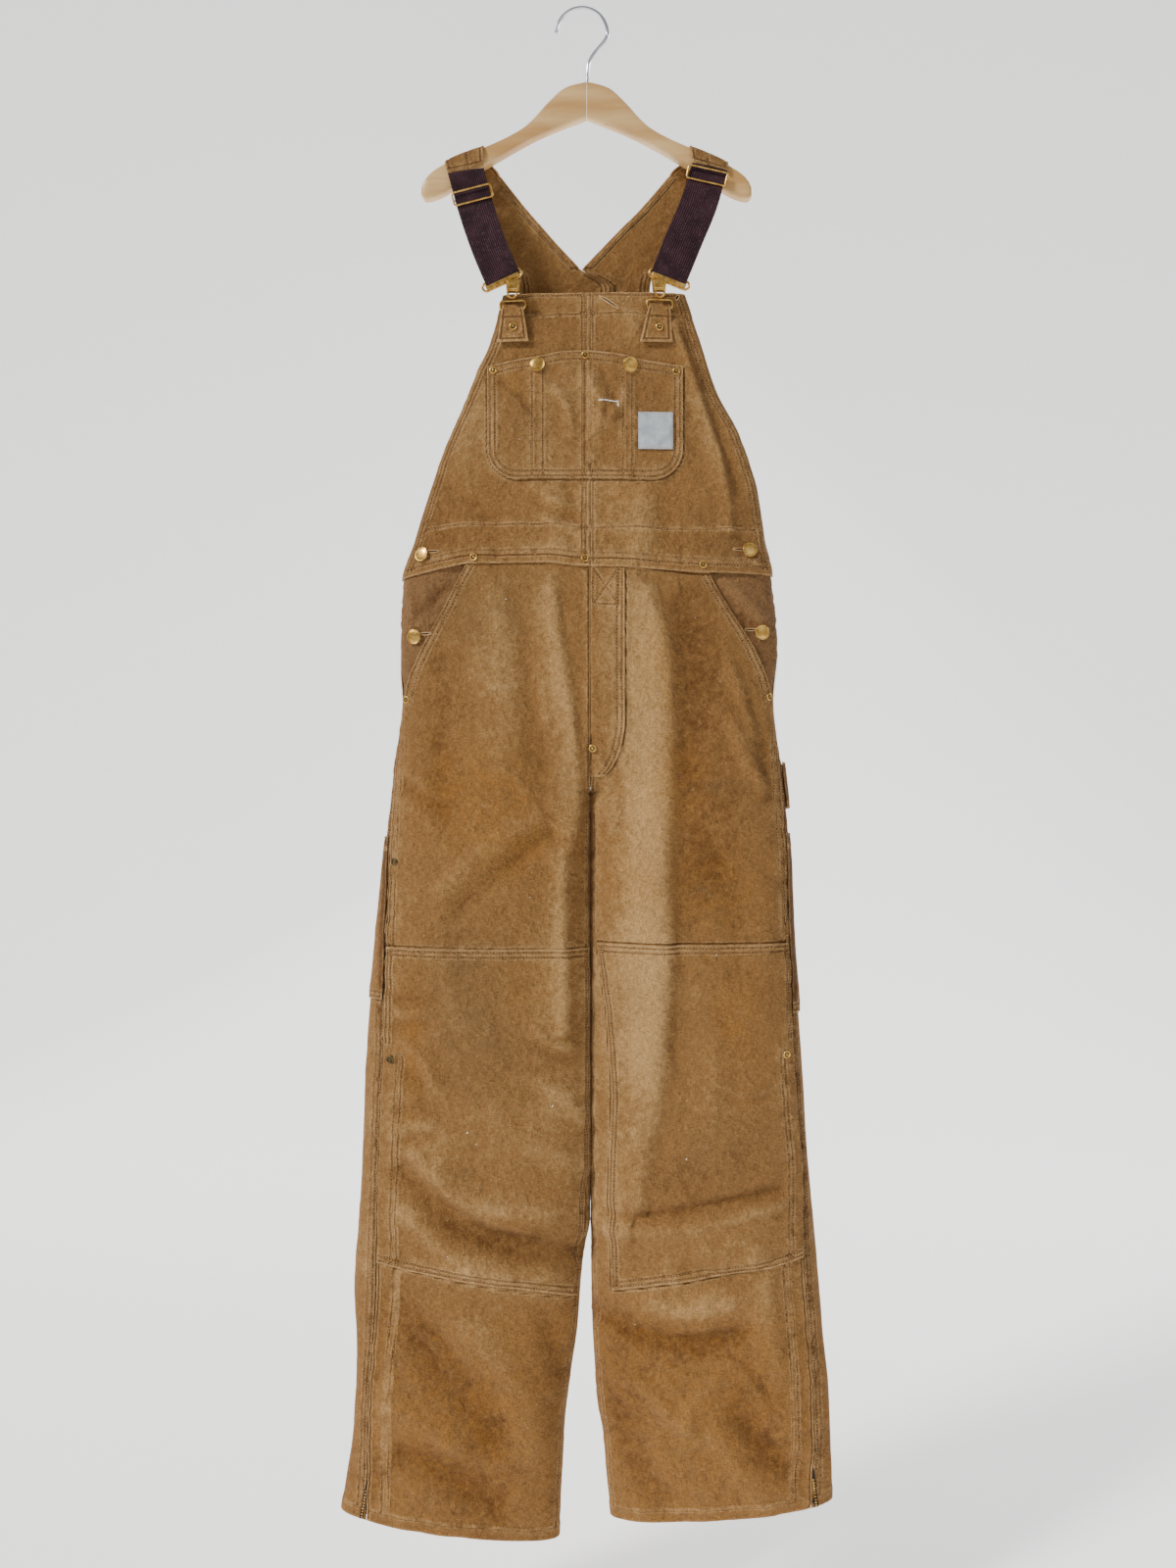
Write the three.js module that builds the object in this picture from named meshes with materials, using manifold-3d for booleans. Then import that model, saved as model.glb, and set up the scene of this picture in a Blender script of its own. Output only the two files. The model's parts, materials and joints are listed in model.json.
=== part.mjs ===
// Double-knee bib overalls of cotton duck with side leg zips, hanging on a wooden hanger.
// Millimetres, +Z up, +X to the wearer's left, the garment's front faces -Y.
// The origin is the underside of the hanger hook's crown, where a rail or wall peg carries it.
import * as THREE from 'three';
import { mergeVertices } from 'three/addons/utils/BufferGeometryUtils.js';
import Module from 'manifold-3d';

const GAP = 0.35;                 // clearance at every seam and lap
const DUCK = 1.8;                 // body cloth, faced on the inside
const PATCH = 1.2;                // one ply of duck, for what is sewn on top
const BOARD = 14;                 // hanger thickness
const WIRE = 3.8;                 // hook wire
const CENTRE = 10;                // the garment hangs this far off the hook's line
const WAIST = -652;
const WAIST_LAP = 0.6;            // half the clearance along the curved waist seam
const CROTCH = -903;
const ZIP_TOP = -1200;

const COLOURS = {
  duck: 0xa06c35, duckDark: 0x855729, elastic: 0x32202a, brass: 0xd8b765,
  wood: 0xd9b184, steel: 0xc9ccd0, blank: 0xb9c0c6,
};
const finish = (color, roughness, metalness = 0) =>
  new THREE.MeshStandardMaterial({ color, roughness, metalness });
const duck = finish(COLOURS.duck, 0.92);
const duckDark = finish(COLOURS.duckDark, 0.95);
const elastic = finish(COLOURS.elastic, 0.85);
const brass = finish(COLOURS.brass, 0.3, 1);
const wood = finish(COLOURS.wood, 0.45);
const steel = finish(COLOURS.steel, 0.18, 1);
const blank = finish(COLOURS.blank, 0.7);

const overalls = new THREE.Group();
overalls.name = 'overalls';

function add(name, geometry, material) {
  const mesh = new THREE.Mesh(geometry, material);
  mesh.name = name;
  overalls.add(mesh);
  return mesh;
}

const lerp = (a, b, t) => a + (b - a) * t;
const clamp01 = (t) => Math.min(1, Math.max(0, t));
const ease = (t) => clamp01(t) ** 2 * (3 - 2 * clamp01(t));

// A smooth line through a few [position, value] stations, in falling or rising order.
function through(stations) {
  const points = [...stations].sort((a, b) => a[0] - b[0]);
  const last = points.length - 1;
  const chord = (i) => (points[i + 1][1] - points[i][1]) / (points[i + 1][0] - points[i][0]);
  const slope = (i) => {
    if (i === 0) return chord(0);
    if (i === last) return chord(last - 1);
    const before = chord(i - 1);
    const after = chord(i);
    return before * after <= 0 ? 0 : (2 * before * after) / (before + after);
  };
  return (x) => {
    if (x <= points[0][0]) return points[0][1];
    if (x >= points[last][0]) return points[last][1];
    const i = points.findIndex((p) => p[0] > x) - 1;
    const span = points[i + 1][0] - points[i][0];
    const t = (x - points[i][0]) / span;
    const h = t * t * (3 - 2 * t);
    const rise = t * (1 - t) * span * (slope(i) * (1 - t) - slope(i + 1) * t);
    return lerp(points[i][1], points[i + 1][1], h) + rise;
  };
}

// ---- the garment's form -----------------------------------------------------------------------

// Each side: how far out the cloth reaches, where the front's outseam runs, and the inner leg.
const SIDES = {
  right: {
    sign: -1,
    outer: through([[-332, -88], [-385, -103], [-454, -131], [-528, -163], [-576, -180],
      [-619, -194], [-658, -205], [-764, -209], [-796, -207], [-850, -213], [-939, -223],
      [-1069, -236], [-1198, -247], [-1394, -256], [-1478, -262], [-1556, -259],
      [-1635, -262], [-1742, -277]]),
    seam: through([[-850, -212.5], [-985, -219], [-1108, -222], [-1206, -225], [-1354, -231],
      [-1438, -232], [-1512, -236], [-1610, -242], [-1742, -245]]),
    inner: through([[-903, 9.6], [-1385, 9.4], [-1436, 1], [-1512, -5.6], [-1555, -12],
      [-1608, -19], [-1655, -22], [-1742, -26]]),
    hem: -1741.5,
    hemSlope: -0.124,
    hemMiddle: -135,
  },
  left: {
    sign: 1,
    outer: through([[-332, 115], [-383, 133], [-445, 154], [-488, 177], [-528, 192],
      [-568, 203], [-611, 210], [-653, 217], [-746, 225], [-795, 221], [-849, 226],
      [-879, 230], [-961, 238], [-1069, 243], [-1155, 249], [-1242, 255], [-1298, 258],
      [-1433, 270], [-1537, 278], [-1595, 284], [-1722, 288]]),
    seam: through([[-850, 225.5], [-960, 231], [-1066, 235], [-1185, 239], [-1247, 243],
      [-1333, 250], [-1428, 252], [-1502, 257], [-1571, 262], [-1639, 264], [-1722, 260]]),
    inner: through([[-903, 10.4], [-1385, 10.4], [-1480, 11], [-1543, 14], [-1597, 18],
      [-1630, 24], [-1674, 28], [-1722, 33]]),
    hem: -1722.5,
    hemSlope: 0.076,
    hemMiddle: 147,
  },
};

const frontDepth = through([[-332, 23], [-430, 27], [-548, 31], [-656, 36], [-760, 41],
  [-903, 44], [-1080, 43], [-1260, 40], [-1450, 38], [-1600, 35], [-1742, 32]]);
const frontEdge = through([[-332, 15], [-450, 11], [-560, 6], [-640, 1], [-656, 0]]);
const backDepth = through([[-300, 15], [-450, 20], [-560, 25], [-656, 30], [-760, 36],
  [-903, 38], [-1080, 35], [-1260, 33], [-1450, 32], [-1600, 31], [-1742, 31]]);

// How far two legs have opened into one body: 0 below the crotch, 1 above it. The seat seam
// curves up steeply from the crotch, and the cloth further out changes over a longer stretch.
const SEAT_RISE = 105;
const seamShare = (z) => Math.sqrt(1 - clamp01((CROTCH + SEAT_RISE - z) / SEAT_RISE) ** 2);
const clothShare = (z) => ease((z + 1010) / 290);
function bodyShare(z, turn = 0) {
  const fromMiddle = Math.min(turn, 2 - turn);
  return lerp(seamShare(z), clothShare(z), ease(fromMiddle / 0.34));
}

const power = (v, p) => Math.sign(v) * Math.abs(v) ** p;

// The waist seam isn't level: it rides up over the right hip and drops at the sides.
const waistLine = through([[-206, -658], [-160, -648], [-122, -642], [-40, -642], [0, -646],
  [40, -647], [137, -652], [219, -653]]);

// A point on the outside of the cloth. turn 0 is the front middle, 1 the side, 2 the back middle.
function bodyPoint(side, turn, z) {
  const form = SIDES[side];
  const out = form.outer(z);
  const legIn = form.inner(Math.min(z, CROTCH));
  const share = bodyShare(z, turn);
  const depth = turn < 1 ? frontDepth(z) : backDepth(z);
  const legAngle = Math.PI * turn;
  const legX = legIn + (out - legIn) * (1 - Math.cos(legAngle)) / 2;
  const legY = -depth * power(Math.sin(legAngle), 0.82);
  const middle = CENTRE + form.sign * GAP / 2;
  const bodyAngle = legAngle / 2;
  const bodyX = middle + (out - middle) * power(Math.sin(bodyAngle), 0.9);
  const edge = turn < 1 ? frontEdge(z) : 0;
  const bodyY = -edge - (depth - edge) * power(Math.cos(bodyAngle), 0.62);
  const x = lerp(legX, bodyX, share);
  const y = lerp(legY, bodyY, share);
  const tilt = ease((-1300 - z) / 420) * form.hemSlope * (x - form.hemMiddle);
  const dip = ease(1 - Math.abs(z - WAIST) / 110) * (waistLine(x) - WAIST);
  return new THREE.Vector3(x, y, z + tilt + dip);
}

// The turn, between two others, at which a side's cloth reaches a given x.
function turnAt(side, x, z, from = 0.001, to = 0.999) {
  let near = from;
  let far = to;
  const sign = Math.sign(bodyPoint(side, to, z).x - bodyPoint(side, from, z).x);
  for (let i = 0; i < 30; i += 1) {
    const half = (near + far) / 2;
    if (sign * (bodyPoint(side, half, z).x - x) < 0) near = half;
    else far = half;
  }
  return (near + far) / 2;
}

// ---- walls of cloth ---------------------------------------------------------------------------

const evenly = (count) => Array.from({ length: count + 1 }, (_, i) => i / count);

// A closed wall from a surface(u, v), which is its outer face once moved out by lift.
function wall(surface, us, vs, thickness, lift = 0, flip = 1) {
  const step = 1e-3;
  const outer = [];
  const inner = [];
  const du = new THREE.Vector3();
  const dv = new THREE.Vector3();
  for (const v of vs) {
    for (const u of us) {
      du.subVectors(surface(Math.min(1, u + step), v), surface(Math.max(0, u - step), v));
      dv.subVectors(surface(u, Math.min(1, v + step)), surface(u, Math.max(0, v - step)));
      const normal = du.clone().cross(dv).normalize().multiplyScalar(flip);
      const at = surface(u, v);
      const out = typeof lift === 'function' ? lift(u, v) : lift;
      outer.push(at.clone().addScaledVector(normal, out));
      inner.push(at.clone().addScaledVector(normal, out - thickness));
    }
  }
  const columns = us.length - 1;
  const rows = vs.length - 1;
  const width = us.length;
  const count = width * vs.length;
  const index = [];
  const quad = (a, b, c, d) => {
    if (flip > 0) index.push(a, b, c, a, c, d);
    else index.push(a, c, b, a, d, c);
  };
  for (let r = 0; r < rows; r += 1) {
    for (let c = 0; c < columns; c += 1) {
      const a = r * width + c;
      const b = a + count;
      quad(a, a + 1, a + width + 1, a + width);
      quad(b + width, b + width + 1, b + 1, b);
    }
  }
  const rim = (a, b) => quad(b, a, a + count, b + count);
  for (let c = 0; c < columns; c += 1) {
    rim(c, c + 1);
    rim(rows * width + c + 1, rows * width + c);
  }
  for (let r = 0; r < rows; r += 1) {
    rim((r + 1) * width, r * width);
    rim(r * width + columns, (r + 1) * width + columns);
  }
  const geometry = new THREE.BufferGeometry();
  const flat = [...outer, ...inner].flatMap((p) => [p.x, p.y, p.z]);
  geometry.setAttribute('position', new THREE.Float32BufferAttribute(flat, 3));
  geometry.setIndex(index);
  return geometry;
}

// ---- legs, bib and back -------------------------------------------------------------------------

const SEAM_TURN = 0.0016;          // half a seam's gap, in turns round a leg
const LIE = 0.8;                   // what is sewn on lies this far off the panel under it
const HIP = -790;                  // the foot of the slant pocket's mouth
const LEG_ROWS = [-700, -745, HIP, -825, -850, -870, -886, -897, -904, -916, -940, -985, -1040,
  -1108, -1180, -1260, -1340, -1420, -1500, -1590, -1680];

// The front's outer edge: the slanted pocket mouth, the side of the hip, then the outseam.
const MOUTH = {
  right: through([[-650, -128], [-700, -158], [-745, -184], [HIP, -203], [-850, -211]]),
  left: through([[-650, 141], [-700, 171], [-745, 198], [HIP, 216], [-850, 224]]),
};
const frontEndTurn = (side, z) =>
  turnAt(side, z > -850 ? MOUTH[side](z) : SIDES[side].seam(z), z) - SEAM_TURN;
const innerTurn = (z) => lerp(0.001, 0, bodyShare(z));
const LEG_COLUMNS = [0, 0.05, 0.13, 0.25, 0.38, 0.51, 0.64, 0.76, 0.86, 0.94, 1];
const BACK_COLUMNS = [0, 0.06, 0.13, 0.22, 0.34, 0.47, 0.6, 0.73, 0.86, 0.95, 1];
const rowsOf = (top, bottom, inside) => {
  const rows = [top, ...inside.filter((z) => z < top - 5 && z > bottom + 5), bottom];
  return rows.map((z) => (z - top) / (bottom - top));
};

for (const side of ['right', 'left']) {
  const form = SIDES[side];
  const flip = -form.sign;
  const top = WAIST - WAIST_LAP;
  const legRows = rowsOf(top, form.hem, LEG_ROWS);

  const frontLeg = (u, v) => {
    const z = lerp(top, form.hem, v);
    return bodyPoint(side, lerp(innerTurn(z), frontEndTurn(side, z), u), z);
  };
  add(`front_leg_${side}`, wall(frontLeg, LEG_COLUMNS, legRows, DUCK, 0, flip), duck);

  const backStart = (z) => (z > -850 ? 1.002 : frontEndTurn(side, z) + 2 * SEAM_TURN);
  const backLeg = (u, v) => {
    const z = lerp(top, form.hem, v);
    return bodyPoint(side, lerp(backStart(z), 2 - innerTurn(z), u), z);
  };
  add(`back_leg_${side}`, wall(backLeg, BACK_COLUMNS, legRows, DUCK, 0, flip), duck);

  // The hip facing shows outside the pocket mouth and runs a little way in under the front.
  const facing = (u, v) => {
    const z = lerp(top, HIP - 8, v);
    const under = turnAt(side, MOUTH[side](z) - form.sign * 20, z);
    return bodyPoint(side, lerp(under, 0.998, u), z);
  };
  const facingLift = (u, v) => {
    const beyond = form.sign * (facing(u, v).x - MOUTH[side](lerp(top, HIP - 8, v)));
    return -(DUCK + 4 * GAP) * (1 - ease((beyond - 4) / 30));
  };
  add(`hip_facing_${side}`, wall(facing, evenly(5), rowsOf(top, HIP - 8, LEG_ROWS), PATCH,
    facingLift, flip), duckDark);
}

// A point of the front at x: on one side's bib or leg.
function frontPoint(x, z) {
  const side = x < CENTRE ? 'right' : 'left';
  return bodyPoint(side, turnAt(side, x, z), z);
}

// The chest. Each bib half is cut on a slant and lies on the waist seam.
const BIB_TOP = -336;
const BIB_ROWS = [-380, -430, -480, -530, -575, -615];
for (const side of ['right', 'left']) {
  const flip = -SIDES[side].sign;
  const foot = WAIST + WAIST_LAP;
  const bib = (u, v) => bodyPoint(side, 0.998 * u, lerp(BIB_TOP, foot, v));
  add(`bib_${side}`, wall(bib, evenly(7), rowsOf(BIB_TOP, foot, BIB_ROWS), DUCK, 0, flip), duck);

  // The side opening's button stand runs down behind the bib's edge and the hip facing.
  const standTop = -566;
  const standFoot = HIP - 8;
  const stand = (u, v) => {
    const z = lerp(standTop, standFoot, v);
    return bodyPoint(side, lerp(0.8, 0.955, u), z);
  };
  const standRows = rowsOf(standTop, standFoot, [...BIB_ROWS, -656, ...LEG_ROWS]);
  add(`button_stand_${side}`, wall(stand, evenly(3), standRows, PATCH, -7, flip), duckDark);
}

// The back: two halves, each cut in one with its shoulder strap, with a V between them.
const V_POINT = -295;
const STRAP_FOOT = -186;
const vEdge = {
  right: through([[V_POINT, -1], [-236.4, -53.9], [STRAP_FOOT, -95]]),
  left: through([[V_POINT, -1], [-256, 36.7], [-227, 66], [STRAP_FOOT, 101]]),
};
// The seam between the halves starts at the V, crosses over and then runs down the middle.
const backSeam = through([[V_POINT, -1], [-316, 31], [-340, 26], [-400, CENTRE]]);
const backEdge = {
  right: through([[STRAP_FOOT, -142], [-232, -105], [-253, -93], [-290, -79], [-318, -73], [-345, -74],
    [-400, -90], [-450, -118], [-500, -147], [-548, -172], [-600, -189], [WAIST, -202]]),
  left: through([[STRAP_FOOT, 148], [-232, 111], [-253, 98], [-290, 86], [-318, 79], [-345, 84],
    [-400, 105], [-450, 135], [-500, 164], [-548, 189], [-600, 205], [WAIST, 214]]),
};
const backReach = through([[-200, 230], [-500, 225], [-600, 208], [WAIST, 207]]);
function upperBack(side, u, z) {
  const sign = SIDES[side].sign;
  const near = (z > V_POINT ? vEdge[side](z) : backSeam(z)) + sign * GAP / 2;
  const x = lerp(near, backEdge[side](z), u);
  const reach = Math.abs(SIDES[side].outer(WAIST) - CENTRE) + backReach(z) - backReach(WAIST);
  const across = clamp01(Math.abs(x - CENTRE) / reach);
  const y = backDepth(z) * (1 - across ** 2.22) ** 0.31;
  const dip = ease(1 - (z - WAIST) / 110) * (waistLine(x) - WAIST);
  return new THREE.Vector3(x, y, z + dip);
}
const BACK_ROWS = [-205, -230, -256, -275, V_POINT, -302, -309, -316, -328, -345, -370, -400, -450, -500, -548, -600];
for (const side of ['right', 'left']) {
  const flip = -SIDES[side].sign;
  const foot = WAIST + WAIST_LAP;
  const half = (u, v) => upperBack(side, u, lerp(STRAP_FOOT, foot, v));
  const rows = rowsOf(STRAP_FOOT, foot, BACK_ROWS);
  add(`back_${side}`, wall(half, evenly(6), rows, DUCK, 0, -flip), duck);
}

// ---- the hanger -----------------------------------------------------------------------------

const SPLIT = 5.5;
const hangerTop = {
  right: through([[SPLIT, -85.5], [-18, -92], [-40, -111], [-54, -127], [-67, -139], [-86, -150],
    [-113, -162], [-159, -181], [-177, -194], [-185, -207]]),
  left: through([[SPLIT, -85.5], [29, -92], [51, -111], [65, -127], [78, -139], [97, -150],
    [124, -162], [170, -183], [188, -196], [196, -209]]),
};
function board(side) {
  const sign = SIDES[side].sign;
  const start = SPLIT + sign * GAP / 2;
  const tip = side === 'right' ? -185 : 196;
  const shape = new THREE.Shape();
  shape.moveTo(start, -127);
  shape.lineTo(start, hangerTop[side](start));
  for (const part of [0.12, 0.2, 0.27, 0.33, 0.39, 0.48, 0.6, 0.72, 0.84, 0.93, 0.98, 1]) {
    const x = lerp(start, tip, part);
    shape.lineTo(x, hangerTop[side](x));
  }
  shape.lineTo(tip - sign * 1, -216);
  shape.lineTo(tip - sign * 5, -221);
  shape.lineTo(lerp(start, tip, 0.62), -184);
  const easedEdges = { depth: BOARD - 5, bevelEnabled: true, bevelThickness: 2.5, bevelSize: 2,
    bevelOffset: -2, bevelSegments: 2, steps: 1 };
  const geometry = new THREE.ExtrudeGeometry(shape, easedEdges);
  geometry.rotateX(Math.PI / 2);
  geometry.translate(0, (BOARD - 5) / 2, 0);
  return geometry;
}
for (const side of ['right', 'left']) add(`hanger_${side}`, board(side), wood);

// A rod of round section along a curve.
function rod(curve, diameter, steps, sides = 8) {
  const section = new THREE.Shape();
  for (let i = 0; i < sides; i += 1) {
    const a = (2 * Math.PI * i) / sides;
    const p = [Math.cos(a) * diameter / 2, Math.sin(a) * diameter / 2];
    if (i === 0) section.moveTo(...p);
    else section.lineTo(...p);
  }
  return new THREE.ExtrudeGeometry(section, { steps, bevelEnabled: false, extrudePath: curve });
}
const line = (...points) => new THREE.CatmullRomCurve3(points.map((p) => new THREE.Vector3(...p)));

// The hook is a three-quarter turn of wire that sweeps back to a straight shank over the split.
const HOOK_RADIUS = 29.5;
const hookCrown = WIRE / 2;
const hookPoints = [];
for (let a = 168; a >= -2; a -= 17) {
  const angle = (a * Math.PI) / 180;
  hookPoints.push([HOOK_RADIUS * Math.cos(angle), 0,
    hookCrown + HOOK_RADIUS * (Math.sin(angle) - 1)]);
}
hookPoints.push([25, 0, -38], [17.5, 0, -46.5], [11.5, 0, -54], [7.5, 0, -62], [6.2, 0, -71],
  [6.2, 0, -84.6]);
add('hook', rod(line(...hookPoints), WIRE, 44), steel);
const ball = new THREE.SphereGeometry(2.7, 10, 8);
const ballMesh = add('hook_ball', ball, steel);
ballMesh.position.set(hookPoints[0][0] - 0.4, 0, hookPoints[0][2] - 5.2);

// ---- straps, elastics and their hardware ------------------------------------------------------

// Where each shoulder strap crosses the hanger, and the run of its elastic down to the clip:
// [share of the run, inner edge x and z, outer edge x and z, depth].
const STRAPS = {
  right: {
    back: [-95.2, -142], over: [-113, -157], foot: [[-112, -187], [-153.6, -194]],
    run: [[0, -112, -190, -153, -196, -14], [0.33, -101, -233, -140, -244, -18],
      [0.66, -84, -284, -124, -292, -25], [1, -71.5, -314, -108, -331, -29]],
    slider: { at: 0.24, tilt: 17 },
  },
  left: {
    back: [101.2, 148], over: [124, 168], foot: [[126.5, -181], [167, -191]],
    run: [[0, 126, -184, 166, -193, -14], [0.33, 113, -228, 154, -237, -18],
      [0.66, 94, -275, 136, -283, -25], [1, 79.5, -314, 117.5, -329, -29]],
    slider: { at: 0.11, tilt: -15 },
  },
};
const BAND = 1.4;
const FOLD = 2.4;                 // the radius of the elastic's turn round the clip's bar

for (const side of ['right', 'left']) {
  const strap = STRAPS[side];
  const flip = -SIDES[side].sign;
  const topLine = hangerTop[side];

  // The duck strap lies over the board: up behind it, across its top edge, and a little way down.
  const over = (u, v) => {
    const part = v < 0.4 ? v / 0.4 : 1;
    const down = v > 0.75 ? (v - 0.75) / 0.25 : 0;
    const backX = lerp(strap.back[0], strap.back[1], u);
    const overX = lerp(strap.over[0], strap.over[1], u);
    const footX = lerp(strap.foot[0][0], strap.foot[1][0], u);
    const x = lerp(lerp(backX, overX, ease(part)), footX, down);
    const crest = topLine(x) + 3.4;
    if (v < 0.4) {
      const start = upperBack(side, u, STRAP_FOOT);
      return new THREE.Vector3(x, lerp(start.y, 10.4, part), lerp(STRAP_FOOT + 2 * GAP, crest - 7, part));
    }
    if (v <= 0.75) {
      const angle = (Math.PI * (v - 0.4)) / 0.35;
      return new THREE.Vector3(x, 10.4 * Math.cos(angle), crest - 7 * (1 - Math.sin(angle)));
    }
    const footZ = lerp(strap.foot[0][1], strap.foot[1][1], u);
    return new THREE.Vector3(x, -10.4 - down, lerp(crest - 7, footZ, down));
  };
  const overRows = [0, 0.2, 0.4, 0.4583, 0.5166, 0.575, 0.6333, 0.6916, 0.75, 0.87, 1];
  add(`shoulder_strap_${side}`, wall(over, evenly(4), overRows, DUCK, 0, flip), duck);

  const edge = (column) => through(strap.run.map((r) => [r[0], r[column]]));
  const [innerX, innerZ, outerX, outerZ, runY] = [1, 2, 3, 4, 5].map(edge);
  const runAt = (s, u) => new THREE.Vector3(lerp(innerX(s), outerX(s), u), runY(s),
    lerp(innerZ(s), outerZ(s), u));
  const runWay = runAt(1, 0.5).sub(runAt(0.9, 0.5)).normalize();

  // One band: down behind, round the clip's upper bar, and up in front to the slider.
  const sliderAt = strap.slider.at;
  const band = (u, v) => {
    if (v < 0.45) {
      const s = v / 0.45;
      return runAt(s, u);
    }
    if (v <= 0.55) {
      const a = (Math.PI * (v - 0.45)) / 0.1;
      const turn = runAt(1, u).addScaledVector(runWay, FOLD * Math.sin(a));
      turn.y -= FOLD * (1 - Math.cos(a));
      return turn;
    }
    const s = lerp(1, sliderAt, (v - 0.55) / 0.45);
    const at = runAt(s, u);
    at.y -= 2 * FOLD;
    return at;
  };
  const bandRows = [0, 0.09, 0.18, 0.27, 0.36, 0.45, 0.475, 0.5, 0.525, 0.55, 0.64, 0.73, 0.82,
    0.91, 1];
  add(`elastic_${side}`, wall(band, evenly(2), bandRows, BAND, BAND / 2, flip), elastic);
  strap.runAt = runAt;
}

// A flat ring with round corners, its face to the front.
function ring(width, height, bar, depth, lowBar = bar) {
  const rounded = (shape, w, top, bottom, r) => {
    shape.moveTo(-w / 2 + r, bottom);
    shape.lineTo(w / 2 - r, bottom);
    shape.absarc(w / 2 - r, bottom + r, r, -Math.PI / 2, 0, false);
    shape.lineTo(w / 2, top - r);
    shape.absarc(w / 2 - r, top - r, r, 0, Math.PI / 2, false);
    shape.lineTo(-w / 2 + r, top);
    shape.absarc(-w / 2 + r, top - r, r, Math.PI / 2, Math.PI, false);
    shape.lineTo(-w / 2, bottom + r);
    shape.absarc(-w / 2 + r, bottom + r, r, Math.PI, 1.5 * Math.PI, false);
    return shape;
  };
  const top = height / 2;
  const outside = rounded(new THREE.Shape(), width, top, -top, Math.min(4, height / 2.4));
  outside.holes.push(rounded(new THREE.Path(), width - 2 * bar, top - bar, lowBar - top,
    Math.min(2, height / 5)));
  const soft = depth * 0.2;
  const geometry = new THREE.ExtrudeGeometry(outside, { depth: depth - 2 * soft, curveSegments: 2,
    bevelEnabled: true, bevelThickness: soft, bevelSize: soft, bevelOffset: -soft,
    bevelSegments: 1 });
  geometry.translate(0, 0, soft - depth / 2);
  geometry.rotateX(Math.PI / 2);
  return geometry;
}
const turned = (geometry, degrees, x, y, z) => {
  geometry.rotateY((-degrees * Math.PI) / 180);
  geometry.translate(x, y, z);
  return geometry;
};

const wasm = await Module();
wasm.setup();
const { Manifold, Mesh } = wasm;
function solid(geometry) {
  const bare = geometry.clone();
  bare.deleteAttribute('normal');
  bare.deleteAttribute('uv');
  const merged = mergeVertices(bare, 1e-4);
  return new Manifold(new Mesh({
    numProp: 3,
    vertProperties: new Float32Array(merged.attributes.position.array),
    triVerts: new Uint32Array(merged.index.array),
  }));
}
function joined(geometries) {
  const whole = geometries.map(solid).reduce((a, b) => a.add(b)).getMesh();
  const geometry = new THREE.BufferGeometry();
  geometry.setAttribute('position', new THREE.Float32BufferAttribute(whole.vertProperties, 3));
  geometry.setIndex([...whole.triVerts]);
  return geometry;
}

// A round piece of hardware from its profile, standing on the cloth at x, z of the front.
function stud(name, profile, segments, at, normal, material = brass) {
  const points = profile.map((p) => new THREE.Vector2(...p));
  const mesh = add(name, new THREE.LatheGeometry(points, segments), material);
  mesh.position.copy(at);
  mesh.quaternion.setFromUnitVectors(new THREE.Vector3(0, 1, 0), normal);
}
function outward(point, along) {
  const a = point(along[0] + 0.5, along[1]).sub(point(along[0] - 0.5, along[1]));
  const b = point(along[0], along[1] + 0.5).sub(point(along[0], along[1] - 0.5));
  const normal = a.cross(b).normalize();
  return normal.y > 0 ? normal.negate() : normal;
}
const RIVET = [[0, 0], [4.25, 0], [4.25, 0.7], [3.5, 1.5], [2.3, 1.2], [1.4, 1.9], [0, 1.9]];
const BUTTON = [[0, 0], [3.2, 0], [3.2, 1.6], [8, 1.8], [8.5, 2.8], [7.4, 4.2], [4, 5], [0, 5.2]];
const onFront = (name, profile, segments, x, z, lift) => {
  const normal = outward(frontPoint, [x, z]);
  stud(name, profile, segments, frontPoint(x, z).addScaledVector(normal, lift), normal);
};

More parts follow.
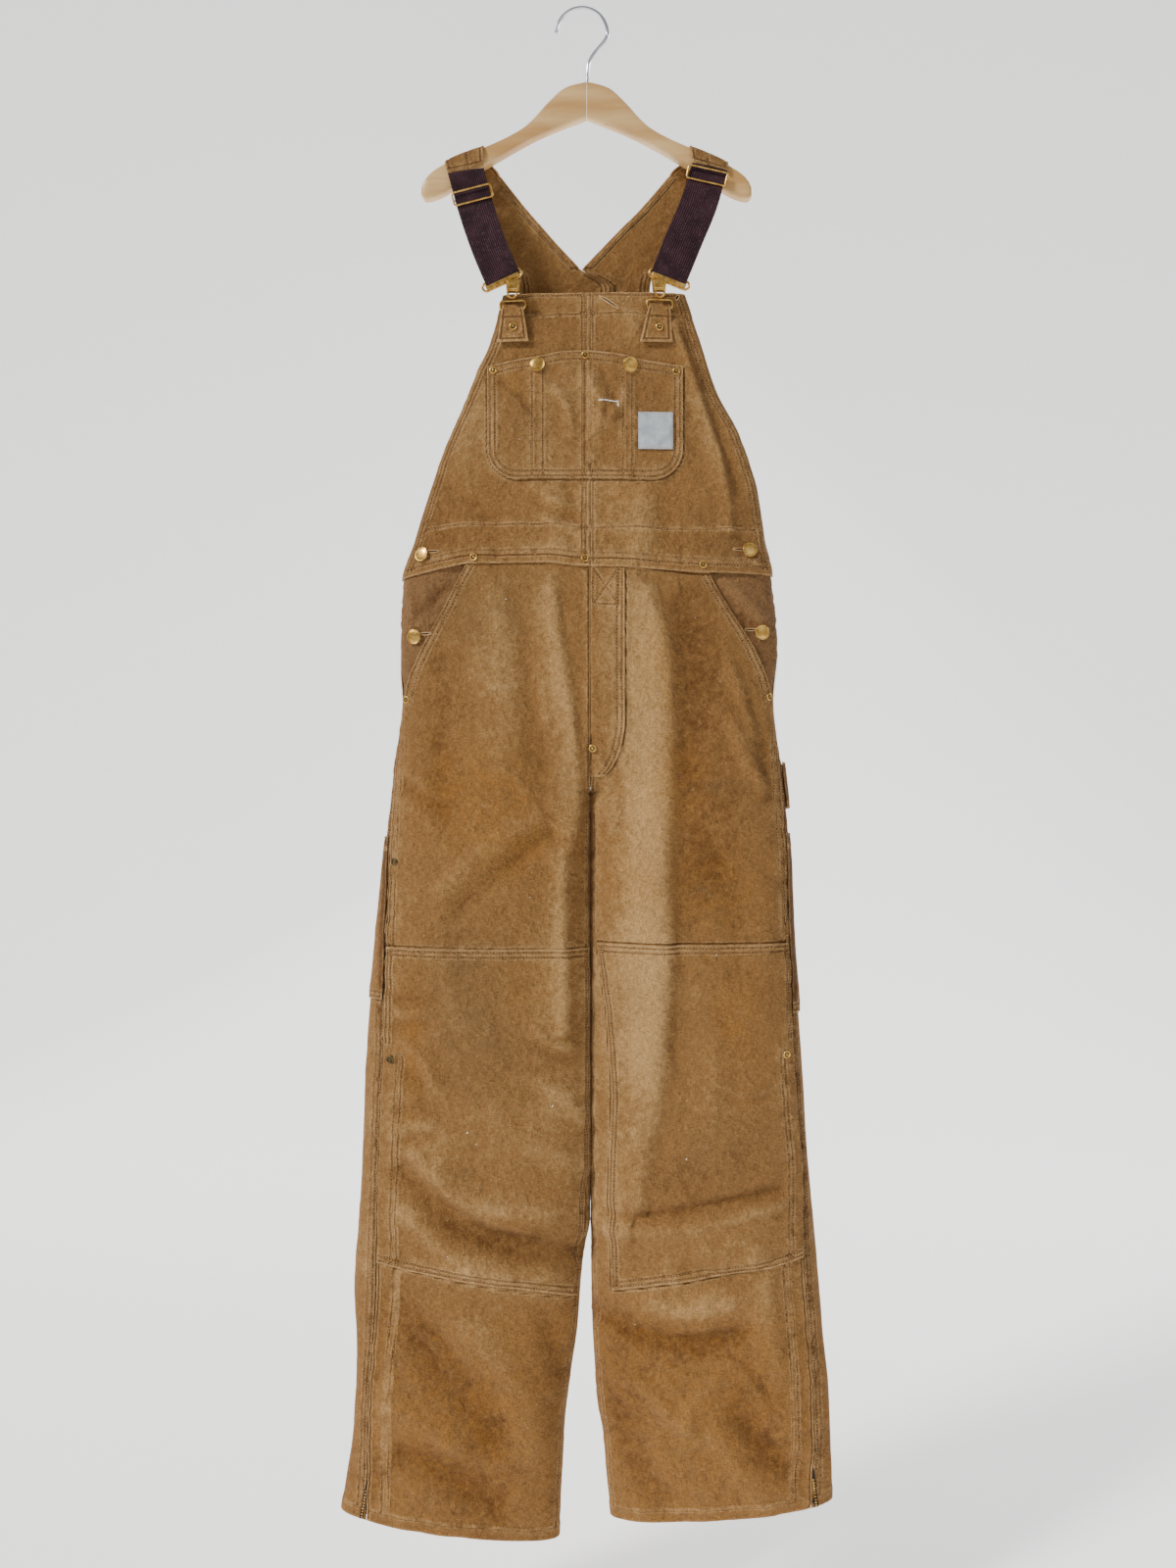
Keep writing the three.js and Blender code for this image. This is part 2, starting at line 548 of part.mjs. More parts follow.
const TABS = {
  right: { top: [-90, -66.5], bottom: [-96, -60], head: -353, foot: -393, rivet: [-77.5, -376] },
  left: { top: [76, 100], bottom: [65.5, 103], head: -352, foot: -394, rivet: [87.5, -377] },
};
const SEWN = LIE + PATCH;         // the outside of one ply sewn on a panel
for (const side of ['right', 'left']) {
  const strap = STRAPS[side];
  const sign = SIDES[side].sign;
  const tilt = (s) => {
    const across = strap.runAt(s, 1).sub(strap.runAt(s, 0));
    return (Math.atan2(across.z, across.x) * 180) / Math.PI + (sign < 0 ? 180 : 0);
  };
  const at = strap.runAt(strap.slider.at, 0.5);
  add(`slider_${side}`, turned(ring(47, 17, 2.2, 2), tilt(strap.slider.at), at.x,
    at.y - 2 * FOLD - BAND / 2 - 2, at.z), brass);

  // The clip hangs in the elastic's fold, and its hook passes in front of the tab's wire loop.
  const hang = strap.runAt(1, 0.5);
  const clipTilt = tilt(1);
  const frame = turned(ring(49, 13, 2.4, 1.9, 3.2), clipTilt, hang.x, hang.y - FOLD, hang.z - 3.2);
  const tab = TABS[side];
  const loopX = (tab.top[0] + tab.top[1]) / 2;
  const housing = new THREE.Shape();
  housing.moveTo(-6.5, -6.5);
  housing.lineTo(6.5, -6.5);
  housing.lineTo(7.5, 4.5);
  housing.lineTo(4, 6);
  housing.lineTo(-4, 6);
  housing.lineTo(-7.5, 4.5);
  housing.closePath();
  const block = new THREE.ExtrudeGeometry(housing, { depth: 4, bevelEnabled: true,
    bevelThickness: 1, bevelSize: 1, bevelOffset: -1, bevelSegments: 1 });
  block.rotateX(Math.PI / 2);
  const blockZ = hang.z - 10.5;
  block.translate(loopX - sign * 1, hang.y - FOLD + 1.5, blockZ);
  const swivel = [];
  for (let a = 180; a <= 360; a += 30) {
    const angle = (a * Math.PI) / 180;
    swivel.push([loopX + 5.2 * Math.cos(angle), hang.y - FOLD - 1.2, blockZ - 7 + 6 * Math.sin(angle)]);
  }
  swivel.unshift([loopX - 5.2, hang.y - FOLD - 1.2, blockZ - 4]);
  swivel.push([loopX + 5.2, hang.y - FOLD - 1.2, blockZ - 4]);
  add(`clip_${side}`, joined([frame, block, rod(line(...swivel), 2.4, 14, 6)]), brass);

  const near = LIE + PATCH / 2;
  const far = near + 3.9;
  const midX = (z) => lerp(loopX, (tab.bottom[0] + tab.bottom[1]) / 2,
    (z - tab.head) / (tab.foot - tab.head));
  const lean = (z) => frontPoint(midX(z) + 5, z).y / 10 - frontPoint(midX(z) - 5, z).y / 10;
  const loop = ring(29, 10, 2, 1.6);
  loop.rotateZ(Math.atan(lean(tab.head)));
  loop.translate(loopX, frontPoint(loopX, tab.head).y - (near + far) / 2, tab.head + 2);
  add(`tab_loop_${side}`, loop, brass);

  // The tab is one ply folded over the loop's lower bar, its front ply sewn down to the bib.
  const ply = (u, z, off) => {
    const down = (z - tab.head) / (tab.foot - tab.head);
    const x = lerp(lerp(tab.top[0], tab.bottom[0], down), lerp(tab.top[1], tab.bottom[1], down), u);
    const p = frontPoint(midX(z), z);
    return new THREE.Vector3(x, p.y + lean(z) * (x - midX(z)) - off, z);
  };
  const folded = (u, v) => {
    if (v < 0.4) return ply(u, lerp(-378, tab.head, v / 0.4), near);
    if (v <= 0.6) {
      const a = (Math.PI * (v - 0.4)) / 0.2;
      const p = ply(u, tab.head, lerp(near, far, (1 - Math.cos(a)) / 2));
      p.z += 1.7 * Math.sin(a);
      return p;
    }
    const s = (v - 0.6) / 0.4;
    return ply(u, lerp(tab.head, tab.foot, s), lerp(far, SEWN + PATCH + 0.5, ease(s)));
  };
  const tabRows = [0, 0.2, 0.4, 0.45, 0.5, 0.55, 0.6, 0.7, 0.8, 0.9, 1];
  add(`tab_${side}`, wall(folded, evenly(3), tabRows, PATCH, PATCH / 2, 1), duck);
  onFront(`tab_rivet_${side}`, RIVET, 10, ...tab.rivet, SEWN + 5.2);
}

// ---- what is sewn on the panels -----------------------------------------------------------------

// A ply over a stretch of the front between two x lines and two heights, moved out from its points.
function onPanel(name, left, right, top, foot, columns, rows, lift, material = duck) {
  const surface = (u, v) => {
    const x0 = lerp(left(0), right(0), u);
    const z = lerp(top(x0), foot(x0), v);
    return frontPoint(lerp(left(z), right(z), u), z);
  };
  add(name, wall(surface, columns, rows, PATCH, lift, -1), material);
}

// The chest pocket spans both bib halves, with a curved mouth and round lower corners.
const POCKET = { left: -106, right: 114, foot: -549, corner: 34 };
const pocketMouth = through([[-106, -421], [-79, -414], [-45, -409], [-22, -404], [3, -403],
  [28, -405], [51, -409.5], [68, -413.5], [114, -421]]);
const cornerCut = (z) => {
  const low = clamp01((POCKET.foot + POCKET.corner - z) / POCKET.corner);
  return POCKET.corner * (1 - Math.sqrt(1 - low * low));
};
const pocket = (u, v) => {
  const wide = lerp(POCKET.left, POCKET.right, u);
  const z = lerp(pocketMouth(wide), POCKET.foot, v);
  return frontPoint(lerp(POCKET.left + cornerCut(z), POCKET.right - cornerCut(z), u), z);
};
const POCKET_COLUMNS = [0, 0.09, 0.18, 0.27, 0.36, 0.45, 0.53, 0.61, 0.7, 0.79, 0.88, 0.95, 1];
const POCKET_ROWS = [0, 0.25, 0.5, 0.74, 0.82, 0.89, 0.945, 0.98, 1];
add('chest_pocket', wall(pocket, POCKET_COLUMNS, POCKET_ROWS, PATCH, SEWN, -1), duck);

onPanel('blank_patch', () => 63.6, () => 102.5, () => -474, () => -516, evenly(4), evenly(2),
  SEWN + LIE + 0.6 + PATCH, blank);

// The fly's placket lies on the wearer's left of the middle and ends in a curve.
const FLY = { top: WAIST - 2, foot: -884, bend: -815 };
const flyEdge = (z) => {
  const low = clamp01((FLY.bend - z) / (FLY.bend - FLY.foot));
  return 18 + 30 * Math.sqrt(1 - low * low * 0.98);
};
const fly = (u, v) => {
  const z = lerp(FLY.top, FLY.foot, v);
  return frontPoint(lerp(CENTRE + 1, flyEdge(z), u), z);
};
add('fly', wall(fly, evenly(3), [0, 0.2, 0.4, 0.6, 0.72, 0.82, 0.9, 0.95, 1], PATCH, SEWN, -1),
  duck);

for (const side of ['right', 'left']) {
  const sign = SIDES[side].sign;
  const flip = -sign;

  // The knee patch reaches from near the inner leg to the outseam.
  const innerKnee = side === 'right'
    ? through([[-1074, 6], [-1280, 5], [-1340, 3], [-1420, -1], [-1476, -7]])
    : through([[-1072, 18], [-1130, 26], [-1190, 31.5], [-1250, 34.5], [-1350, 32], [-1464, 34.5]]);
  const kneeTop = side === 'right' ? [-1079, -1077] : [-1073, -1073];
  const kneeFoot = side === 'right' ? [-1471, -1436] : [-1463, -1431];
  const patch = (u, v) => {
    const top = lerp(kneeTop[0], kneeTop[1], u);
    const foot = lerp(kneeFoot[0], kneeFoot[1], u);
    const z = lerp(top, foot, v);
    const from = turnAt(side, innerKnee(z), z, 0.01);
    return bodyPoint(side, lerp(from, frontEndTurn(side, z) - 0.002, u), z);
  };
  const kneeColumns = [0, 0.08, 0.18, 0.3, 0.43, 0.56, 0.69, 0.81, 0.91, 1];
  add(`knee_patch_${side}`, wall(patch, kneeColumns, evenly(5), PATCH, SEWN, flip), duck);

  // A closed zip runs behind the outseam from below the knee to the hem, which opens a little.
  const zip = (u, v) => {
    const z = lerp(ZIP_TOP, SIDES[side].hem + 4, v);
    const at = frontEndTurn(side, z) + SEAM_TURN;
    return bodyPoint(side, lerp(at - 0.035, at + 0.035, u), z);
  };
  add(`zip_${side}`, wall(zip, evenly(3), evenly(7), PATCH, -(DUCK + 1.6), flip), duckDark);

  // A deep tool pocket on the back leg starts at the outseam and wraps round the side.
  const pocketTop = side === 'right' ? [-952, -962] : [-948, -958];
  const pocketFoot = side === 'right' ? -1137 : -1153;
  const tool = (u, v) => {
    const z = lerp(lerp(pocketTop[0], pocketTop[1], u), pocketFoot, v);
    return bodyPoint(side, lerp(frontEndTurn(side, z) + 0.012, 1.46, u), z);
  };
  add(`tool_pocket_${side}`, wall(tool, [0, 0.09, 0.18, 0.29, 0.42, 0.58, 0.78, 1], evenly(3),
    PATCH, SEWN + 0.4, flip), duck);
}

// The hammer loop stands a little off the wearer's left hip, sewn down at both ends.
const hammer = (u, v) => {
  const z = lerp(-868, -920, v) - 10 * u;
  return bodyPoint('left', lerp(0.962, 1.4, u), z);
};
const hammerLift = (u) => SEWN + 0.4 + 9 * Math.sin(Math.PI * u) ** 0.8;
add('hammer_loop', wall(hammer, [0, 0.08, 0.18, 0.3, 0.45, 0.6, 0.8, 1], evenly(2), PATCH,
  hammerLift, -1), duck);

// ---- buttons and rivets -------------------------------------------------------------------------

const ON_PANEL = 0.5;
const ON_PLY = SEWN + 0.7;
const BUTTONS = [
  ['button_waist_right', -181, -633, ON_PANEL], ['button_waist_left', 190, -628, ON_PANEL],
  ['button_hip_right', -189.5, -726, 0.6], ['button_hip_left', 204, -721, 0.6],
  ['button_chest_right', -50, -420, ON_PLY], ['button_chest_left', 54.5, -420, ON_PLY],
];
for (const [name, x, z, lift] of BUTTONS) onFront(name, BUTTON, 14, x, z, lift);
const RIVETS = [
  ['rivet_pocket_right', -100, -425.5, ON_PLY], ['rivet_pocket_middle', 4, -408.5, ON_PLY],
  ['rivet_pocket_left', 107, -426.5, ON_PLY], ['rivet_waist', 3.5, -640, 0.7],
  ['rivet_mouth_right', -121.5, -638, 0.7], ['rivet_mouth_left', 136.5, -646, 0.7],
  ['rivet_mouth_foot_right', -200, -797, 0.9], ['rivet_mouth_foot_left', 213, -794, 0.9],
  ['rivet_fly', 12, -853, ON_PLY + 1],
  ['rivet_tool_right', -212, -981, 0.9], ['rivet_zip_right', -216, -1203, ON_PLY + 0.5],
  ['rivet_zip_left', 231, -1198, ON_PLY + 0.5],
];
for (const [name, x, z, lift] of RIVETS) onFront(name, RIVET, 10, x, z, lift);

export default overalls;
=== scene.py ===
import json
import math

import bpy
import numpy as np
from mathutils import Matrix, Vector, bvhtree, kdtree

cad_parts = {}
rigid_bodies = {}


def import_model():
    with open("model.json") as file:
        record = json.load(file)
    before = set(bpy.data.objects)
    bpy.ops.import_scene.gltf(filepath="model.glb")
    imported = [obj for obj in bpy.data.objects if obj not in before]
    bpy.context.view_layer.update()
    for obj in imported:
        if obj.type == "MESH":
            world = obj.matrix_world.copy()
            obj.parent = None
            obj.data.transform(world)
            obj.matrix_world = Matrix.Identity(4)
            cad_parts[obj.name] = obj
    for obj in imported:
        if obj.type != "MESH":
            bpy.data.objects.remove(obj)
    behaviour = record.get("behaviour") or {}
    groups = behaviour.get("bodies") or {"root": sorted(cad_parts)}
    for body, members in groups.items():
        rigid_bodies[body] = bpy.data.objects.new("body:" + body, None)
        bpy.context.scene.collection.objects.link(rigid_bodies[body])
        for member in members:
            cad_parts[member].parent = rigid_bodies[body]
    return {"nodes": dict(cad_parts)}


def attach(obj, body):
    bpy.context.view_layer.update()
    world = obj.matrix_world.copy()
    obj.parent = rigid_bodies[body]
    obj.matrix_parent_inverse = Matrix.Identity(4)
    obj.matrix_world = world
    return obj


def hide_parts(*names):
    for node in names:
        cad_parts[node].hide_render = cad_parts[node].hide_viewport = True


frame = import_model()
loaded = {piece.name for piece in bpy.data.objects}
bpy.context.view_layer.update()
print("frame loaded:", len(frame["nodes"]), "nodes")

# Lengths in the garment's own form are millimetres; a finished mesh is in metres.
mm = 0.001


def mix(a, b, t):
    return a + (b - a) * t


def ease(t):
    t = np.clip(t, 0, 1)
    return t * t * (3 - 2 * t)


def power(v, p):
    return np.sign(v) * np.abs(v) ** p


def point(x, y, z):
    return np.stack(np.broadcast_arrays(x, y, z), axis=-1).astype(float)


def unit(v):
    return v / np.maximum(np.linalg.norm(v, axis=-1, keepdims=True), 1e-9)


# A smooth line through a few (position, value) stations
def through(stations):
    at, value = np.array(sorted(stations), float).T
    chord = np.diff(value) / np.diff(at)
    before, after = chord[:-1], chord[1:]
    bend = np.where(before * after <= 0, 0,
                    2 * before * after / np.where(before + after == 0, 1, before + after))
    slope = np.concatenate([chord[:1], bend, chord[-1:]])

    def line(where):
        where = np.clip(np.asarray(where, float), at[0], at[-1])
        i = np.clip(np.searchsorted(at, where, side="right") - 1, 0, len(at) - 2)
        span = at[i + 1] - at[i]
        t = (where - at[i]) / span
        rise = t * (1 - t) * span * (slope[i] * (1 - t) - slope[i + 1] * t)
        return mix(value[i], value[i + 1], t * t * (3 - 2 * t)) + rise

    return line


# The garment's form

centre = 10
seamGap = 0.35
waist = -652
waistLap = 0.6
crotch = -903
zipTop = -1200
lie = 0.8  # what is sewn on lies this far off the panel under it
ply = 1.2
sewn = lie + ply
seamTurn = 0.0016
seamStart = -850  # the side seam shows below this
hipFoot = -790

sides = {
    "right": dict(
        sign=-1,
        outer=through([(-332, -88), (-385, -103), (-454, -131), (-528, -163), (-576, -180), (-619, -194),
                       (-658, -205), (-764, -209), (-796, -207), (-850, -213), (-939, -223), (-1069, -236),
                       (-1198, -247), (-1394, -256), (-1478, -262), (-1556, -259), (-1635, -262),
                       (-1742, -277)]),
        seam=through([(-850, -212.5), (-985, -219), (-1108, -222), (-1206, -225), (-1354, -231),
                      (-1438, -232), (-1512, -236), (-1610, -242), (-1742, -245)]),
        inner=through([(-903, 9.6), (-1385, 9.4), (-1436, 1), (-1512, -5.6), (-1555, -12), (-1608, -19),
                       (-1655, -22), (-1742, -26)]),
        mouth=through([(-650, -128), (-700, -158), (-745, -184), (hipFoot, -203), (-850, -211)]),
        hem=-1741.5, hemSlope=-0.124, hemMiddle=-135,
    ),
    "left": dict(
        sign=1,
        outer=through([(-332, 115), (-383, 133), (-445, 154), (-488, 177), (-528, 192), (-568, 203),
                       (-611, 210), (-653, 217), (-746, 225), (-795, 221), (-849, 226), (-879, 230),
                       (-961, 238), (-1069, 243), (-1155, 249), (-1242, 255), (-1298, 258), (-1433, 270),
                       (-1537, 278), (-1595, 284), (-1722, 288)]),
        seam=through([(-850, 225.5), (-960, 231), (-1066, 235), (-1185, 239), (-1247, 243), (-1333, 250),
                      (-1428, 252), (-1502, 257), (-1571, 262), (-1639, 264), (-1722, 260)]),
        inner=through([(-903, 10.4), (-1385, 10.4), (-1480, 11), (-1543, 14), (-1597, 18), (-1630, 24),
                       (-1674, 28), (-1722, 33)]),
        mouth=through([(-650, 141), (-700, 171), (-745, 198), (hipFoot, 216), (-850, 224)]),
        hem=-1722.5, hemSlope=0.076, hemMiddle=147,
    ),
}

frontDepth = through([(-332, 23), (-430, 27), (-548, 31), (-656, 36), (-760, 41), (-903, 44), (-1080, 43),
                      (-1260, 40), (-1450, 38), (-1600, 35), (-1742, 32)])
frontEdge = through([(-332, 15), (-450, 11), (-560, 6), (-640, 1), (-656, 0)])
backDepth = through([(-300, 15), (-450, 20), (-560, 25), (-656, 30), (-760, 36), (-903, 38), (-1080, 35),
                     (-1260, 33), (-1450, 32), (-1600, 31), (-1742, 31)])
waistLine = through([(-206, -658), (-160, -648), (-122, -642), (-40, -642), (0, -646), (40, -647),
                     (137, -652), (219, -653)])


# How far two legs have opened into one body: 0 below the crotch, 1 above it
def bodyShare(z, turn):
    seam = np.sqrt(1 - np.clip((crotch + 105 - z) / 105, 0, 1) ** 2)
    cloth = ease((z + 1010) / 290)
    return mix(seam, cloth, ease(np.minimum(turn, 2 - turn) / 0.34))


# The outside of the cloth. turn 0 is the front middle, 1 the side, 2 the back middle
def bodyPoint(side, turn, z):
    turn, z = np.broadcast_arrays(np.asarray(turn, float), np.asarray(z, float))
    form = sides[side]
    out = form["outer"](z)
    legIn = form["inner"](np.minimum(z, crotch))
    share = bodyShare(z, turn)
    depth = np.where(turn < 1, frontDepth(z), backDepth(z))
    angle = np.pi * turn
    legX = legIn + (out - legIn) * (1 - np.cos(angle)) / 2
    legY = -depth * power(np.sin(angle), 0.82)
    middle = centre + form["sign"] * seamGap / 2
    bodyX = middle + (out - middle) * power(np.sin(angle / 2), 0.9)
    edge = np.where(turn < 1, frontEdge(z), 0)
    bodyY = -edge - (depth - edge) * power(np.cos(angle / 2), 0.62)
    x = mix(legX, bodyX, share)
    y = mix(legY, bodyY, share)
    tilt = ease((-1300 - z) / 420) * form["hemSlope"] * (x - form["hemMiddle"])
    dip = ease(1 - np.abs(z - waist) / 110) * (waistLine(x) - waist)
    return point(x, y, z + tilt + dip)


# The turn between two others at which a side's cloth reaches x
def turnAt(side, x, z, near=0.001, far=0.999):
    x, z = np.broadcast_arrays(np.asarray(x, float), np.asarray(z, float))
    near, far = np.full(x.shape, float(near)), np.full(x.shape, float(far))
    sign = np.sign(bodyPoint(side, far, z)[..., 0] - bodyPoint(side, near, z)[..., 0])
    for _ in range(22):
        half = (near + far) / 2
        short = sign * (bodyPoint(side, half, z)[..., 0] - x) < 0
        near, far = np.where(short, half, near), np.where(short, far, half)
    return (near + far) / 2


zTable = np.arange(-1750, -640, 2.0)
endTable = {
    side: turnAt(side, np.where(zTable > seamStart, sides[side]["mouth"](zTable),
                                sides[side]["seam"](zTable)), zTable)
    - seamTurn
    for side in sides
}


def frontEnd(side, z):
    return np.interp(z, zTable, endTable[side])


def innerTurn(z):
    return mix(0.001, 0, bodyShare(z, 0))


def frontPoint(x, z):
    x, z = np.broadcast_arrays(np.asarray(x, float), np.asarray(z, float))
    right = bodyPoint("right", turnAt("right", x, z), z)
    left = bodyPoint("left", turnAt("left", x, z), z)
    return np.where((x < centre)[..., None], right, left)


vPoint = -295
strapFoot = -186
vEdge = {
    "right": through([(vPoint, -1), (-236.4, -53.9), (strapFoot, -95)]),
    "left": through([(vPoint, -1), (-256, 36.7), (-227, 66), (strapFoot, 101)]),
}
# The seam between the back's halves starts at the V, crosses over and then runs down the middle
backSeam = through([(vPoint, -1), (-316, 31), (-340, 26), (-400, centre)])
backEdge = {
    "right": through([(strapFoot, -142), (-232, -105), (-253, -93), (-290, -79), (-318, -73), (-345, -74),
                      (-400, -90), (-450, -118), (-500, -147), (-548, -172), (-600, -189), (waist, -202)]),
    "left": through([(strapFoot, 148), (-232, 111), (-253, 98), (-290, 86), (-318, 79), (-345, 84),
                     (-400, 105), (-450, 135), (-500, 164), (-548, 189), (-600, 205), (waist, 214)]),
}
backReach = through([(-200, 230), (-500, 225), (-600, 208), (waist, 207)])


def upperBack(side, u, z):
    u, z = np.broadcast_arrays(np.asarray(u, float), np.asarray(z, float))
    sign = sides[side]["sign"]
    near = np.where(z > vPoint, vEdge[side](z), backSeam(z)) + sign * seamGap / 2
    x = mix(near, backEdge[side](z), u)
    reach = abs(float(sides[side]["outer"](waist)) - centre) + backReach(z) - backReach(waist)
    across = np.clip(np.abs(x - centre) / reach, 0, 1)
    y = backDepth(z) * (1 - across**2.22) ** 0.31
    dip = ease(1 - (z - waist) / 110) * (waistLine(x) - waist)
    return point(x, y, z + dip)


# How the cloth creases

